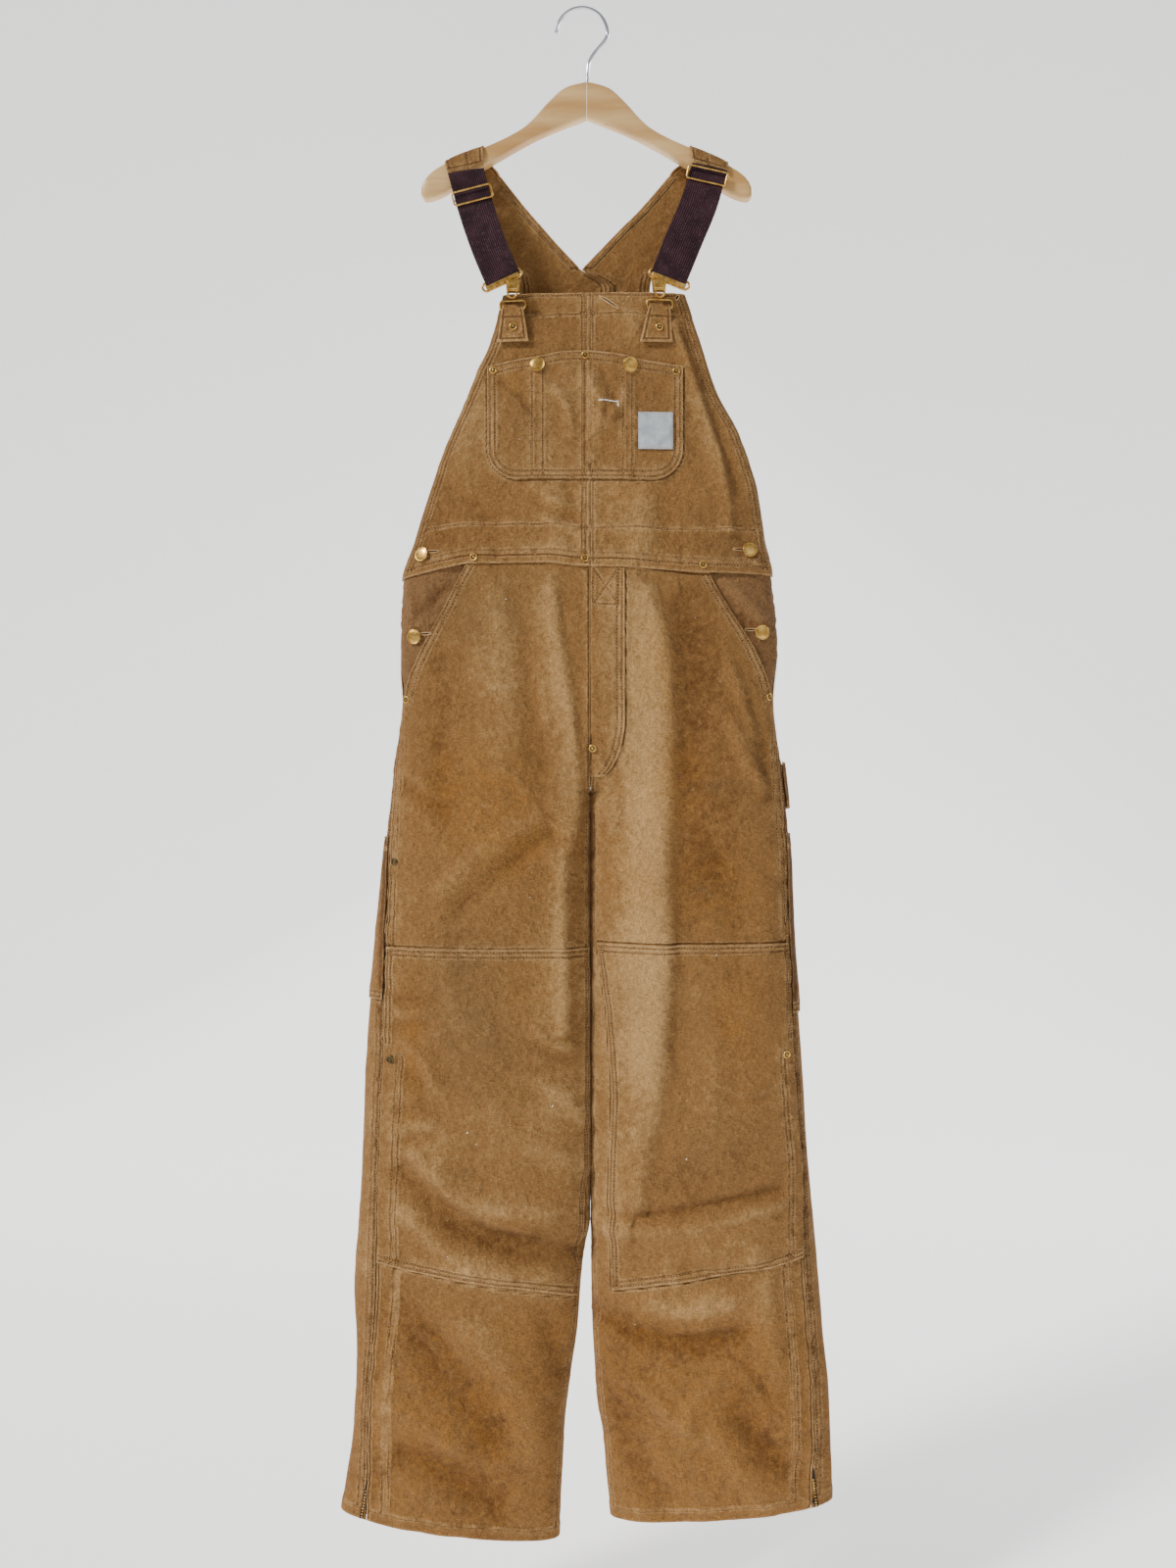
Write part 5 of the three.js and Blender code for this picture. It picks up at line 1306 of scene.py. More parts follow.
for inset in (2.8, 8.4):
    frontRow("fly", [(float(flyEdge(z)) - inset, z) for z in np.linspace(-655, -881, 60)], pucker=0.4)
frontRow("fly", [(13, -657), (13, -694), (41, -696), (41, -657)], pucker=0.3)
frontRow("fly", [(14, -658), (40, -694)], pucker=0.3)
frontRow("fly", [(40, -658), (14, -694)], pucker=0.3)


# The placket puffs a little inside its stitching, below the box and cross that hold its top
def flyPuff(x, z):
    inside = ease((flyEdge(z) - x - 9) / 3) * ease((x - centre - 1) / 4)
    return 1.0 * inside * ease((-z - 697) / 4) * ease((z + 850) / 30)


def flyHeight(u, v):
    z = mix(fly["top"], fly["foot"], v)
    return flyPuff(mix(centre + 1, flyEdge(z), u), z)


clothPanel("fly", flySurface, (36, 232), -1, 1.2, sewn, "fly", (0.7, 0.9, 0, 0.7), duck, 1.2, 2.2,
           extra=flyHeight)

blankSurface = lambda u, v: frontPoint(mix(63.6, 102.5, u), mix(-474, -516, v))
blankEdge = [(65, -475.5), (101, -475.5), (101, -514.5), (65, -514.5), (65, -475.5)]
frontRow("blank", blankEdge, pucker=0.1, groove=0.25)
clothPanel("blank_patch", blankSurface, (38.9, 42), -1, 0.9, sewn + 2.2, "blank", material=blank,
           fine=1.0, coarse=1.6)

for side, form in sides.items():
    sign, seam = form["sign"], form["seam"]
    flip = -sign
    innerKnee, kneeTop, kneeFoot = kneeShape[side]

    def knee(u, v):
        z = mix(mix(*kneeTop, u), mix(*kneeFoot, u), v)
        return bodyPoint(side, mix(turnAt(side, innerKnee(z), z, 0.01), frontEnd(side, z) - 0.002, u), z)

    layer = f"knee_{side}"
    down = np.linspace(0.012, 0.988, 60)
    for inset in (3.4, 9.0):
        surfaceRow(layer, knee, flip, inset / 222, down, pucker=0.4)
        surfaceRow(layer, knee, flip, np.linspace(0.012, 0.985, 60), inset / 380, pucker=0.5)
        surfaceRow(layer, knee, flip, np.linspace(0.012, 0.985, 60), 1 - inset / 380, pucker=0.45)
    for inset in (3.4, 9.0):
        surfaceRow(layer, knee, flip, 1 - inset / 222, np.linspace(0.01, 0.3, 30), pucker=0.7)
    for inset in (18, 25):
        surfaceRow(layer, knee, flip, 1 - inset / 222, np.linspace(0.33, 0.99, 50), pucker=1.0, groove=0.7)
    clothPanel(
        f"knee_patch_{side}", knee, (222, 380), flip, 1.2, sewn, layer, (1.0, 0.5, 0.9, 1.0), duck, 1.3, 3.2)

    toolTop = (-952, -962) if side == "right" else (-948, -958)
    toolFoot = -1137 if side == "right" else -1153

    def tool(u, v):
        z = mix(mix(*toolTop, u), toolFoot, v)
        return bodyPoint(side, mix(frontEnd(side, z) + 0.012, 1.46, u), z)

    layer = f"tool_{side}"
    for inset in (3, 14):
        surfaceRow(layer, tool, flip, np.linspace(0.01, 0.99, 50), inset / 180, pucker=0.4)
    for inset in (3, 8.5):
        surfaceRow(layer, tool, flip, np.linspace(0.01, 0.99, 50), 1 - inset / 180, pucker=0.5)
        surfaceRow(layer, tool, flip, 1 - inset / 150, np.linspace(0.01, 0.99, 50), pucker=0.5)
    clothPanel(
        f"tool_pocket_{side}", tool, (150, 180), flip, 1.2, sewn + 0.4, layer, (0.6, 0.8, 0.9, 0.7), duck,
        1.6, 3.4)

hammer = lambda u, v: bodyPoint("left", mix(0.962, 1.4, u), mix(-868, -920, v) - 10 * u)
hammerLift = lambda u, v: sewn + 0.4 + 9 * np.sin(np.pi * np.clip(u, 0, 1)) ** 0.8
for v in (0.08, 0.92):
    surfaceRow("hammer", hammer, -1, np.linspace(0.01, 0.99, 40), v, pucker=0.3)
clothPanel("hammer_loop", hammer, (126, 52), -1, 1.2, hammerLift, "hammer", (0.7, 0.7, 0.9, 0.9), duck,
           1.4, 3.0)

print("straps, elastics, tabs and zips")

split = 5.5
hangerTop = {
    "right": through([(split, -85.5), (-18, -92), (-40, -111), (-54, -127), (-67, -139), (-86, -150),
                      (-113, -162), (-159, -181), (-177, -194), (-185, -207)]),
    "left": through([(split, -85.5), (29, -92), (51, -111), (65, -127), (78, -139), (97, -150), (124, -162),
                     (170, -183), (188, -196), (196, -209)]),
}
# Where each strap lies on the hanger, and its elastic's run: share, inner x and z, outer x and z, depth
straps = {
    "right": dict(
        back=(-95.2, -142), over=(-113, -157), foot=((-112, -187), (-153.6, -194)), sliderAt=0.24,
        run=((0, -112, -190, -153, -196, -14), (0.33, -101, -233, -140, -244, -18),
             (0.66, -84, -284, -124, -292, -25), (1, -71.5, -314, -108, -331, -29))),
    "left": dict(
        back=(101.2, 148), over=(124, 168), foot=((126.5, -181), (167, -191)), sliderAt=0.11,
        run=((0, 126, -184, 166, -193, -14), (0.33, 113, -228, 154, -237, -18),
             (0.66, 94, -275, 136, -283, -25), (1, 79.5, -314, 117.5, -329, -29))),
}
foldRadius = 2.4
strapFold = dict(half=10.4, drop=7, above=3.4)  # over the hanger
tabs = {
    "right": dict(top=(-90, -66.5), bottom=(-96, -60), head=-353, foot=-393, rivet=(-77.5, -376)),
    "left": dict(top=(76, 100), bottom=(65.5, 103), head=-352, foot=-394, rivet=(87.5, -377)),
}


def strapSurface(side):
    strap = straps[side]
    half, below = strapFold["half"], strapFold["drop"]

    def over(u, v):
        part = np.where(v < 0.4, v / 0.4, 1)
        down = np.where(v > 0.75, (v - 0.75) / 0.25, 0)
        backX, overX = mix(*strap["back"], u), mix(*strap["over"], u)
        footX = mix(strap["foot"][0][0], strap["foot"][1][0], u)
        x = mix(mix(backX, overX, ease(part)), footX, down)
        crest = hangerTop[side](x) + strapFold["above"]
        start = upperBack(side, u, strapFoot)
        angle = np.pi * (v - 0.4) / 0.35
        footZ = mix(strap["foot"][0][1], strap["foot"][1][1], u)
        rise = point(x, mix(start[..., 1], half, part), mix(strapFoot - 2, crest - below, part))
        turn = point(x, half * np.cos(angle), crest - below * (1 - np.sin(angle)))
        drop = point(x, -half - down, mix(crest - below, footZ, down))
        return np.where((v < 0.4)[..., None], rise, np.where((v <= 0.75)[..., None], turn, drop))

    return over


def runOf(side):
    run = straps[side]["run"]
    innerX, innerZ, outerX, outerZ, depth = (through([(r[0], r[c]) for r in run]) for c in range(1, 6))
    return lambda s, u: point(mix(innerX(s), outerX(s), u), depth(s), mix(innerZ(s), outerZ(s), u))


def bandSurface(side):
    run = runOf(side)
    way = unit(run(1.0, 0.5) - run(0.9, 0.5))
    sliderAt = straps[side]["sliderAt"]

    def band(u, v):
        behind = run(v / 0.45, u)
        a = np.pi * (v - 0.45) / 0.1
        turn = run(np.ones_like(v), u) + way * (foldRadius * np.sin(a))[..., None]
        turn[..., 1] -= foldRadius * (1 - np.cos(a))
        front = run(mix(1, sliderAt - 0.052, (v - 0.55) / 0.45), u)
        front[..., 1] -= 2 * foldRadius
        return np.where((v < 0.45)[..., None], behind, np.where((v <= 0.55)[..., None], turn, front))

    return band


ribCount = 17
zipTurn = 0.035
for side, form in sides.items():
    flip = -form["sign"]
    over = strapSurface(side)
    strapSteps = np.unique(np.concatenate([np.linspace(0, 0.4, 14), np.linspace(0.4, 0.75, 22),
                                           np.linspace(0.75, 0.985, 16), [0.992, 1.0]]).round(5))
    surfaceRow(f"strap_{side}", over, flip, np.linspace(0.02, 0.98, 30), 0.93, pucker=0.3)
    surfaceRow(f"strap_{side}", over, flip, 0.43 if side == "right" else 0.46, np.linspace(0.66, 0.99, 20),
               pucker=0.2, groove=0.9)
    for u in (0.08, 0.92):
        surfaceRow(f"strap_{side}", over, flip, u, np.linspace(0.01, 0.9, 40), pucker=0.3)
    clothPanel(
        f"shoulder_strap_{side}", over, (42, 92), flip, 1.8, 0.25, f"strap_{side}", (0.8, 0.8, 0, 1.0), duck,
        1.2, 1.4, folds=0.0, vs=strapSteps,
        extra=lambda u, v: 0.5 * ease((v - 0.93) / 0.02) + 0.35 * wobble(u * 40, v * 90, 14, 51))

    band = bandSurface(side)
    ribSteps = np.linspace(0, 1, ribCount * 6 + 1)
    runSteps = np.unique(np.concatenate([np.linspace(0, 0.45, 26), np.linspace(0.45, 0.55, 12),
                                         np.linspace(0.55, 1, 26)]).round(5))

    def ribs(u, v):
        return 0.26 * np.cos(2 * np.pi * ribCount * u + np.pi) + 0.5 * wobble(v * 260, u * 20, 60, 52)

    piece = clothPanel(f"elastic_{side}", band, (40, 262), flip, 1.4, 0.7, None, material=elasticCloth,
                       folds=0.0, extra=ribs, us=ribSteps, vs=runSteps)
    ribLight = np.tile(0.5 - 0.5 * np.cos(2 * np.pi * ribCount * ribSteps), len(runSteps))
    attribute = piece.data.attributes.new("ribLight", "FLOAT", "POINT")
    attribute.data.foreach_set("value", np.concatenate([ribLight, ribLight]).astype(np.float32))

    tab = tabs[side]
    loopX = sum(tab["top"]) / 2
    near = lie + ply / 2
    far = near + 3.9
    midX = lambda z: mix(loopX, sum(tab["bottom"]) / 2, (z - tab["head"]) / (tab["foot"] - tab["head"]))

    def onTangent(u, z, off):
        down = (z - tab["head"]) / (tab["foot"] - tab["head"])
        x = mix(mix(tab["top"][0], tab["bottom"][0], down), mix(tab["top"][1], tab["bottom"][1], down), u)
        lean = (frontPoint(midX(z) + 5, z)[..., 1] - frontPoint(midX(z) - 5, z)[..., 1]) / 10
        return point(x, frontPoint(midX(z), z)[..., 1] + lean * (x - midX(z)) - off, z)

    def folded(u, v):
        a = np.pi * (v - 0.4) / 0.2
        behind = onTangent(u, mix(-378, tab["head"], v / 0.4), near)
        turn = onTangent(u, np.full_like(v, tab["head"]), mix(near, far, (1 - np.cos(a)) / 2))
        turn[..., 2] += 1.7 * np.sin(a)
        s = np.clip((v - 0.6) / 0.4, 0, 1)
        front = onTangent(u, mix(tab["head"], tab["foot"], s), mix(far, sewn + ply + 0.9, ease(s)))
        return np.where((v < 0.4)[..., None], behind, np.where((v <= 0.6)[..., None], turn, front))

    layer = f"tab_{side}"
    for u in (0.11, 0.89):
        surfaceRow(layer, folded, 1, u, np.linspace(0.64, 0.965, 20), pucker=0.15, groove=0.7)
    surfaceRow(layer, folded, 1, np.linspace(0.1, 0.9, 20), 0.965, pucker=0.15, groove=0.7)
    surfaceRow(layer, folded, 1, np.linspace(0.04, 0.96, 20), 0.72, pucker=0.15, groove=0.9)
    tabSteps = np.unique(np.concatenate([np.linspace(0, 0.4, 10), np.linspace(0.4, 0.6, 10),
                                         np.linspace(0.6, 0.98, 26), [0.99, 1]]).round(5))
    clothPanel(
        f"tab_{side}", folded, (34, 80), 1, 1.7, 0.75, layer, (1.0, 1.0, 0, 1.0), duck, 1.0, 1.4, vs=tabSteps,
        folds=0.6, extra=lambda u, v: 0.5 * ease((v - 0.72) / 0.02) * ease((0.97 - v) / 0.04)
        * np.sin(np.pi * u))

    def zipSurface(u, v):
        z = mix(zipTop, form["hem"] + 4, v)
        middle = frontEnd(side, z) + seamTurn
        return bodyPoint(side, mix(middle - zipTurn, middle + zipTurn, u), z)

    zipLong = zipTop - form["hem"] - 4
    clothPanel(
        f"zip_{side}", zipSurface, (18, zipLong), flip, 1.0, -3.6, None, material=duckShaded, fine=1.6,
        coarse=5.0)

print("stitching")
stitchesOn("leg_right", 0.0)
stitchesOn("leg_left", 0.0)
for side in sides:
    stitchesOn(f"seat_{side}", 0.0)
    stitchesOn(f"bib_{side}", lambda base: bibLift(base[..., 0], base[..., 2]))
    stitchesOn(f"back_{side}", 0.0)
    stitchesOn(f"facing_{side}", 0.0)
    stitchesOn(f"knee_{side}", sewn)
    stitchesOn(f"tool_{side}", sewn + 0.4)
    stitchesOn(f"strap_{side}", 0.3, folds=0.0)
    stitchesOn(f"tab_{side}", 0.95, folds=0.6)
stitchesOn("pocket", lambda base: lie + 1.3 + pocketHeight(base[..., 0], base[..., 2]))
stitchesOn("fly", lambda base: sewn + flyPuff(base[..., 0], base[..., 2]))
stitchesOn("blank", sewn + 2.2)
stitchesOn("hammer", sewn + 0.6)

for side in sides:
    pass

# Hardware

print("hardware")


def alone(piece):
    bpy.ops.object.select_all(action="DESELECT")
    piece.select_set(True)
    bpy.context.view_layer.objects.active = piece


# In edit mode, with only the faces that pass a test selected
def editFaces(piece, wanted):
    if bpy.context.mode != "OBJECT":
        bpy.ops.object.mode_set(mode="OBJECT")
    alone(piece)
    bpy.ops.object.mode_set(mode="EDIT")
    bpy.ops.mesh.select_mode(type="FACE")
    bpy.ops.mesh.select_all(action="DESELECT")
    bpy.ops.object.mode_set(mode="OBJECT")
    for face in piece.data.polygons:
        face.select = wanted(face)
    bpy.ops.object.mode_set(mode="EDIT")


def finishHard(piece, name, material, replaces, angle=40, bevel=0.0, segments=2):
    if bpy.context.mode != "OBJECT":
        bpy.ops.object.mode_set(mode="OBJECT")
    alone(piece)
    bpy.ops.object.transform_apply(location=True, rotation=True, scale=True)
    if bevel:
        soft = piece.modifiers.new("bevel", "BEVEL")
        soft.width, soft.segments, soft.limit_method = bevel, segments, "ANGLE"
        bpy.ops.object.modifier_apply(modifier=soft.name)
    bpy.ops.object.shade_smooth_by_angle(angle=math.radians(angle))
    piece.name = piece.data.name = name
    piece.data.materials.clear()
    piece.data.materials.append(material)
    if replaces is not None:
        finishPiece(piece, replaces)
    return piece


# A turned stud: a disc whose face is inset and raised step by step
def turnedStud(radius, height, steps, shank=None):
    bpy.ops.object.select_all(action="DESELECT")
    bpy.ops.mesh.primitive_cylinder_add(vertices=28, radius=radius * mm, depth=height * mm,
                                        location=(0, 0, height * mm / 2))
    stud = bpy.context.active_object
    bpy.ops.object.transform_apply(location=True)
    editFaces(stud, lambda face: face.normal.z > 0.9)
    for inward, upward in steps:
        bpy.ops.mesh.inset(thickness=inward * mm, depth=upward * mm)
    if shank:
        editFaces(stud, lambda face: face.normal.z < -0.9)
        bpy.ops.mesh.inset(thickness=(radius - shank[0]) * mm, depth=0)
        bpy.ops.mesh.extrude_region_move(TRANSFORM_OT_translate={"value": (0, 0, -shank[1] * mm)})
    return finishHard(stud, "pattern", brass, None, 35, 0.0002)


buttonPattern = turnedStud(8.5, 1.2, [(0.35, 0.3), (0.5, 0.05), (0.45, -0.3), (0.5, 0.2), (1.6, 0.35),
                                      (1.9, 0.2), (1.7, 0.06)], (3.2, 1.6))
rivetPattern = turnedStud(4.5, 0.8, [(0.3, 0.5), (0.5, 0.3), (0.8, -0.1), (0.5, -1.2), (0.5, 0.0), (0.4, 0.9),
                                     (0.4, 0.2)])

# a rivet's hollow stays dark
rivetPattern.data.materials.append(darkBrass)
for face in rivetPattern.data.polygons:
    if face.center.z > 0 and 0.0011 < face.center.xy.length < 0.0026:
        face.material_index = 1

rayFrom = -120
behindOrHidden = ("back_right", "back_left", "back_seam", "elastic", "zip", "v_facing")
frontTrees = [bvhtree.BVHTree.FromPolygons([tuple(v.co) for v in piece.data.vertices],
                                           [tuple(f.vertices) for f in piece.data.polygons])
              for name, piece in pieces.items() if not name.startswith(behindOrHidden)]


# The foremost cloth at a place, and the way it faces there, taken over a few millimetres
def onCloth(x, z, lift=0.0, reach=3.0):
    hits = []
    for dx, dz in ((0, 0), (reach, 0), (-reach, 0), (0, reach), (0, -reach)):
        start = Vector((x + dx, rayFrom, z + dz)) * mm
        found = [tree.ray_cast(start, Vector((0, 1, 0))) for tree in frontTrees]
        found = [hit for hit in found if hit[0] is not None]
        if found:
            hits.append(min(found, key=lambda hit: hit[0].y))
    facing = sum((hit[1] * (1 if hit[1].y < 0 else -1) for hit in hits), Vector())
    facing.normalize()
    return hits[0][0] + facing * lift * mm, facing


def placeStud(pattern, name, x, z, lift, turn=0.0, material=brass):
    at, normal = onCloth(x, z, lift)
    piece = addObject(name, pattern.data.copy())
    spin = Matrix.Rotation(turn, 4, "Z")
    piece.data.transform(Matrix.Translation(at) @ normal.to_track_quat("Z", "Y").to_matrix().to_4x4() @ spin)
    piece.data.materials[0] = material
    finishPiece(piece, name)


for name, x, z in (("button_waist_right", -181, -633), ("button_waist_left", 190, -628),
                   ("button_hip_right", -189.5, -726), ("button_hip_left", 204, -721),
                   ("button_chest_right", -50, -420), ("button_chest_left", 54.5, -420)):
    placeStud(buttonPattern, name, x, z, 1.2, turn=x)
for name, x, z in (("rivet_pocket_right", -100, -425.5), ("rivet_pocket_middle", 4, -408.5),
                   ("rivet_pocket_left", 107, -426.5), ("rivet_waist", 3.5, -640),
                   ("rivet_mouth_right", -121.5, -638), ("rivet_mouth_left", 136.5, -646),
                   ("rivet_mouth_foot_right", -200, -797), ("rivet_mouth_foot_left", 213, -794),
                   ("rivet_fly", 12, -853), ("rivet_tool_right", -212, -981),
                   ("rivet_zip_right", -216, -1203), ("rivet_zip_left", 231, -1198)):
    dark = name in ("rivet_tool_right", "rivet_zip_right")
    placeStud(rivetPattern, name, x, z, -0.1, material=darkBrass if dark else brass)
for side in sides:
    placeStud(rivetPattern, f"tab_rivet_{side}", *tabs[side]["rivet"], -0.1)
for pattern in (buttonPattern, rivetPattern):
    bpy.data.objects.remove(pattern)


# A bent wire: a path curve with round section, made a mesh
def wire(points, thick, closed=False, smooth=False, resolution=3):
    bpy.ops.object.select_all(action="DESELECT")
    bpy.ops.curve.primitive_nurbs_path_add(location=(0, 0, 0))
    path = bpy.context.active_object
    path.data.splines.clear()
    spline = path.data.splines.new("NURBS" if smooth else "POLY")
    spline.points.add(len(points) - 1)
    for spot, place in zip(spline.points, points):
        spot.co = (*(Vector(place) * mm), 1)
    spline.use_cyclic_u = closed
    if smooth:
        spline.order_u, spline.use_endpoint_u, spline.resolution_u = 3, True, 4
    path.data.bevel_depth = thick / 2 * mm
    path.data.bevel_resolution = resolution
    path.data.use_fill_caps = not closed
    alone(path)
    bpy.ops.object.convert(target="MESH")
    return bpy.context.active_object


def roundCorners(width, height, radius, steps=6):
    loop = []
    for cx, cz, start in ((1, -1, -90), (1, 1, 0), (-1, 1, 90), (-1, -1, 180)):
        for i in range(steps + 1):
            a = math.radians(start + 90 * i / steps)
            loop.append((cx * (width / 2 - radius) + radius * math.cos(a), 0,
                         cz * (height / 2 - radius) + radius * math.sin(a)))
    return loop


def joinPieces(parts):
    bpy.ops.object.select_all(action="DESELECT")
    for part in parts:
        part.select_set(True)
    bpy.context.view_layer.objects.active = parts[0]
    bpy.ops.object.join()
    return bpy.context.active_object


def setPlace(piece, degrees, place, lean=0.0):
    piece.rotation_euler = (0, -math.radians(degrees), lean)
    piece.location = Vector(place) * mm
    alone(piece)
    bpy.ops.object.transform_apply(location=True, rotation=True, scale=True)
    return piece


slider = dict(width=47, height=17, wire=2.1, corner=2.8, bar=1.7)
ring = dict(width=47.5, height=9.2, corner=4.4, wire=2.7)
housing = dict(width=17.0, height=13.0, depth=7.0)
bailWire, bailHalf = 2.4, 5.2
tabRing = dict(width=28.5, height=9.5, corner=3.2, wire=2.4)
for side, form in sides.items():
    sign = form["sign"]
    run = runOf(side)

    def tiltAt(s):
        across = run(s, 1.0) - run(s, 0.0)
        return math.degrees(math.atan2(across[2], across[0])) + (180 if sign < 0 else 0)

    sliderAt = straps[side]["sliderAt"]
    at = run(sliderAt, 0.5)
    thick = slider["wire"]
    frameWire = wire(roundCorners(slider["width"] - thick, slider["height"] - thick, slider["corner"]), thick,
                     closed=True)
    bar = wire([(-22, 5.1, 0.5), (22, 5.1, 0.5)], slider["bar"])
    piece = setPlace(joinPieces([frameWire, bar]), tiltAt(sliderAt),
                     (at[0], at[1] - 2 * foldRadius - 2.7, at[2]))
    finishHard(piece, f"slider_{side}", brass, f"slider_{side}", 50)

    hang = run(1.0, 0.5)
    tab = tabs[side]
    loopX = sum(tab["top"]) / 2
    ringPart = wire(roundCorners(ring["width"], ring["height"], ring["corner"], 9), ring["wire"], closed=True)
    bpy.ops.object.select_all(action="DESELECT")
    bpy.ops.mesh.primitive_cube_add(size=1, location=(0, -0.0008, -0.0006), scale=(0.0405, 0.0026, 0.0064))
    flatBar = bpy.context.active_object
    bpy.ops.object.transform_apply(location=True, scale=True)
    finishHard(flatBar, "bar", brass, None, 40, 0.0006, 3)
    ringPart = setPlace(joinPieces([ringPart, flatBar]), tiltAt(1.0),
                        (hang[0], hang[1] - foldRadius, hang[2] - 3.2))
    bpy.ops.object.select_all(action="DESELECT")
    bpy.ops.mesh.primitive_cube_add(size=1, location=(0, 0, 0),
                                    scale=[housing[k] * mm for k in ("width", "depth", "height")])
    block = bpy.context.active_object
    bpy.ops.object.transform_apply(scale=True)
    editFaces(block, lambda face: face.normal.z < -0.9)
    bpy.ops.transform.resize(value=(0.82, 0.9, 1))
    editFaces(block, lambda face: face.normal.y < -0.9)
    bpy.ops.mesh.inset(thickness=0.0019, depth=0.0)
    bpy.ops.mesh.inset(thickness=0.0004, depth=0.0005)
    finishHard(block, "block", brass, None, 40, 0.0009, 3)
    blockZ = hang[2] - 10.5
    block.location = Vector((loopX - sign * 1, hang[1] - foldRadius - 1.0, blockZ)) * mm
    alone(block)
    bpy.ops.object.transform_apply(location=True)
    bail = [(loopX - bailHalf, hang[1] - foldRadius - 1.2, blockZ - 3)]
    for a in range(180, 361, 15):
        bail.append((loopX + bailHalf * math.cos(math.radians(a)), hang[1] - foldRadius - 1.2,
                     blockZ - 7 + 6 * math.sin(math.radians(a))))
    bail.append((loopX + bailHalf, hang[1] - foldRadius - 1.2, blockZ - 3))
    piece = joinPieces([ringPart, block, wire(bail, bailWire)])
    finishHard(piece, f"clip_{side}", brass, f"clip_{side}", 50)

    near = lie + ply / 2
    lean = math.atan(float(frontPoint(loopX + 5, tab["head"])[1]
                           - frontPoint(loopX - 5, tab["head"])[1]) / 10)
    loop = wire(roundCorners(tabRing["width"], tabRing["height"], tabRing["corner"]), tabRing["wire"],
                closed=True)
    depth = float(frontPoint(loopX, tab["head"])[1]) - near - 1.95
    setPlace(loop, 0, (loopX, depth - 0.2, tab["head"] + 2), lean)
    finishHard(loop, f"tab_loop_{side}", brass, f"tab_loop_{side}", 50)

# Buttonholes: a loop of close stitching round a slit of painted shade, wider at one end
slitShade, _, _ = newMaterial("slit", {"Base Color": colour(34, 22, 12), "Roughness": 0.95})


def buttonhole(name, x, z, long, degrees, head=4.4, wide=2.8):
    way = math.radians(degrees)
    outline = []
    for i in range(40):
        a = 2 * math.pi * i / 40
        along, aside = math.cos(a) * long / 2, math.sin(a) * (head / 2 if math.cos(a) > 0.72 else wide / 2)
        outline.append((x + along * math.cos(way) - aside * math.sin(way),
                        z + along * math.sin(way) + aside * math.cos(way)))
    rim = wire([onCloth(px, pz, 0.35, 1.0)[0] / mm for px, pz in outline], 1.3, closed=True, resolution=1)
    finishHard(rim, name, thread, False, 60)
    inner = [onCloth(x + (px - x) * 0.72, z + (pz - z) * 0.72, 0.4, 1.0)[0] for px, pz in outline]
    dark = meshFrom(name + "_slit", [tuple(p) for p in inner], [tuple(range(len(inner)))], slitShade,
                    smooth=False)
    finishPiece(dark, None)


buttonhole("buttonhole_bib", 30.5, -348, 27, -35)
buttonhole("eyelet_bib", 108, -341, 7, 60, 4.5, 3.4)
buttonhole("buttonhole_waist_right", -169, -630, 15, 0)
buttonhole("buttonhole_waist_left", 178.5, -627.5, 15, 180)
buttonhole("buttonhole_hip_right", -176.5, -723, 14, 0)
buttonhole("buttonhole_hip_left", 191.5, -718, 14, 180)


# The lowest height above z at which the cloth reaches x
def clothFoot(x, z):
    while not any(tree.ray_cast(Vector((x, rayFrom, z)) * mm, Vector((0, 1, 0)))[0] for tree in frontTrees):
        z += 0.5
    return z


# Each zip shows where the side opens at the hem: a slit of painted shade with the end of the row of teeth in
# it
slit = dict(tall=44, wide=8.5, pitch=3.2, tooth=(1.9, 1.0, 1.4), rows=14, teeth=10)
for side, form in sides.items():
    sign, seam = form["sign"], form["seam"]
    hem = max(clothFoot(float(seam(form["hem"])) + sign * reach, form["hem"] - 20) for reach in (-1, 2, 5))
    lines = []
    for z in np.linspace(hem + 0.6, hem + slit["tall"], slit["rows"]):
        wide = mix(slit["wide"], 0.6, (z - hem) / slit["tall"])
        for share in (0, 0.5, 1):
            x = float(seam(z)) + sign * (wide * share - 0.4)
            lines.append(onCloth(x, z, 0.45, 1.0)[0])
    quads = [(3 * i + k, 3 * i + k + 1, 3 * i + k + 4, 3 * i + k + 3) for i in range(slit["rows"] - 1)
             for k in (0, 1)]
    gap = meshFrom(f"hem_slit_{side}", [tuple(p) for p in lines], quads, slitShade)
    finishPiece(gap, None)
    teeth = []
    for i in range(slit["teeth"]):
        z = hem + 3 + slit["pitch"] * i
        at, _ = onCloth(float(seam(z)) + sign * (slit["wide"] * (0.62 - 0.06 * i) - 0.4), z, 0.8, 1.0)
        bpy.ops.object.select_all(action="DESELECT")
        bpy.ops.mesh.primitive_cube_add(size=1, location=at, scale=[k * mm for k in slit["tooth"]])
        teeth.append(bpy.context.active_object)
        alone(teeth[-1])
        bpy.ops.object.transform_apply(location=True, scale=True)
    finishHard(joinPieces(teeth), f"zip_teeth_{side}", brass, None, 40, 0.0002, 1)
    finishPiece(bpy.context.active_object, None)


# Dried paint: flecks and one smear, thin and uneven, lying on the cloth
def daub(name, outline):
    ring = [onCloth(x, z, 0.2, 0.6)[0] for x, z in outline]
    mx, mz = (sum(p[i] for p in outline) / len(outline) for i in (0, 1))
    middle = onCloth(mx, mz, 0.55, 0.6)[0]
    faces = [(i, (i + 1) % len(ring), len(ring)) for i in range(len(ring))]
    finishPiece(meshFrom(name, [tuple(p) for p in ring + [middle]], faces, paint), None)


spatter = np.random.RandomState(8)


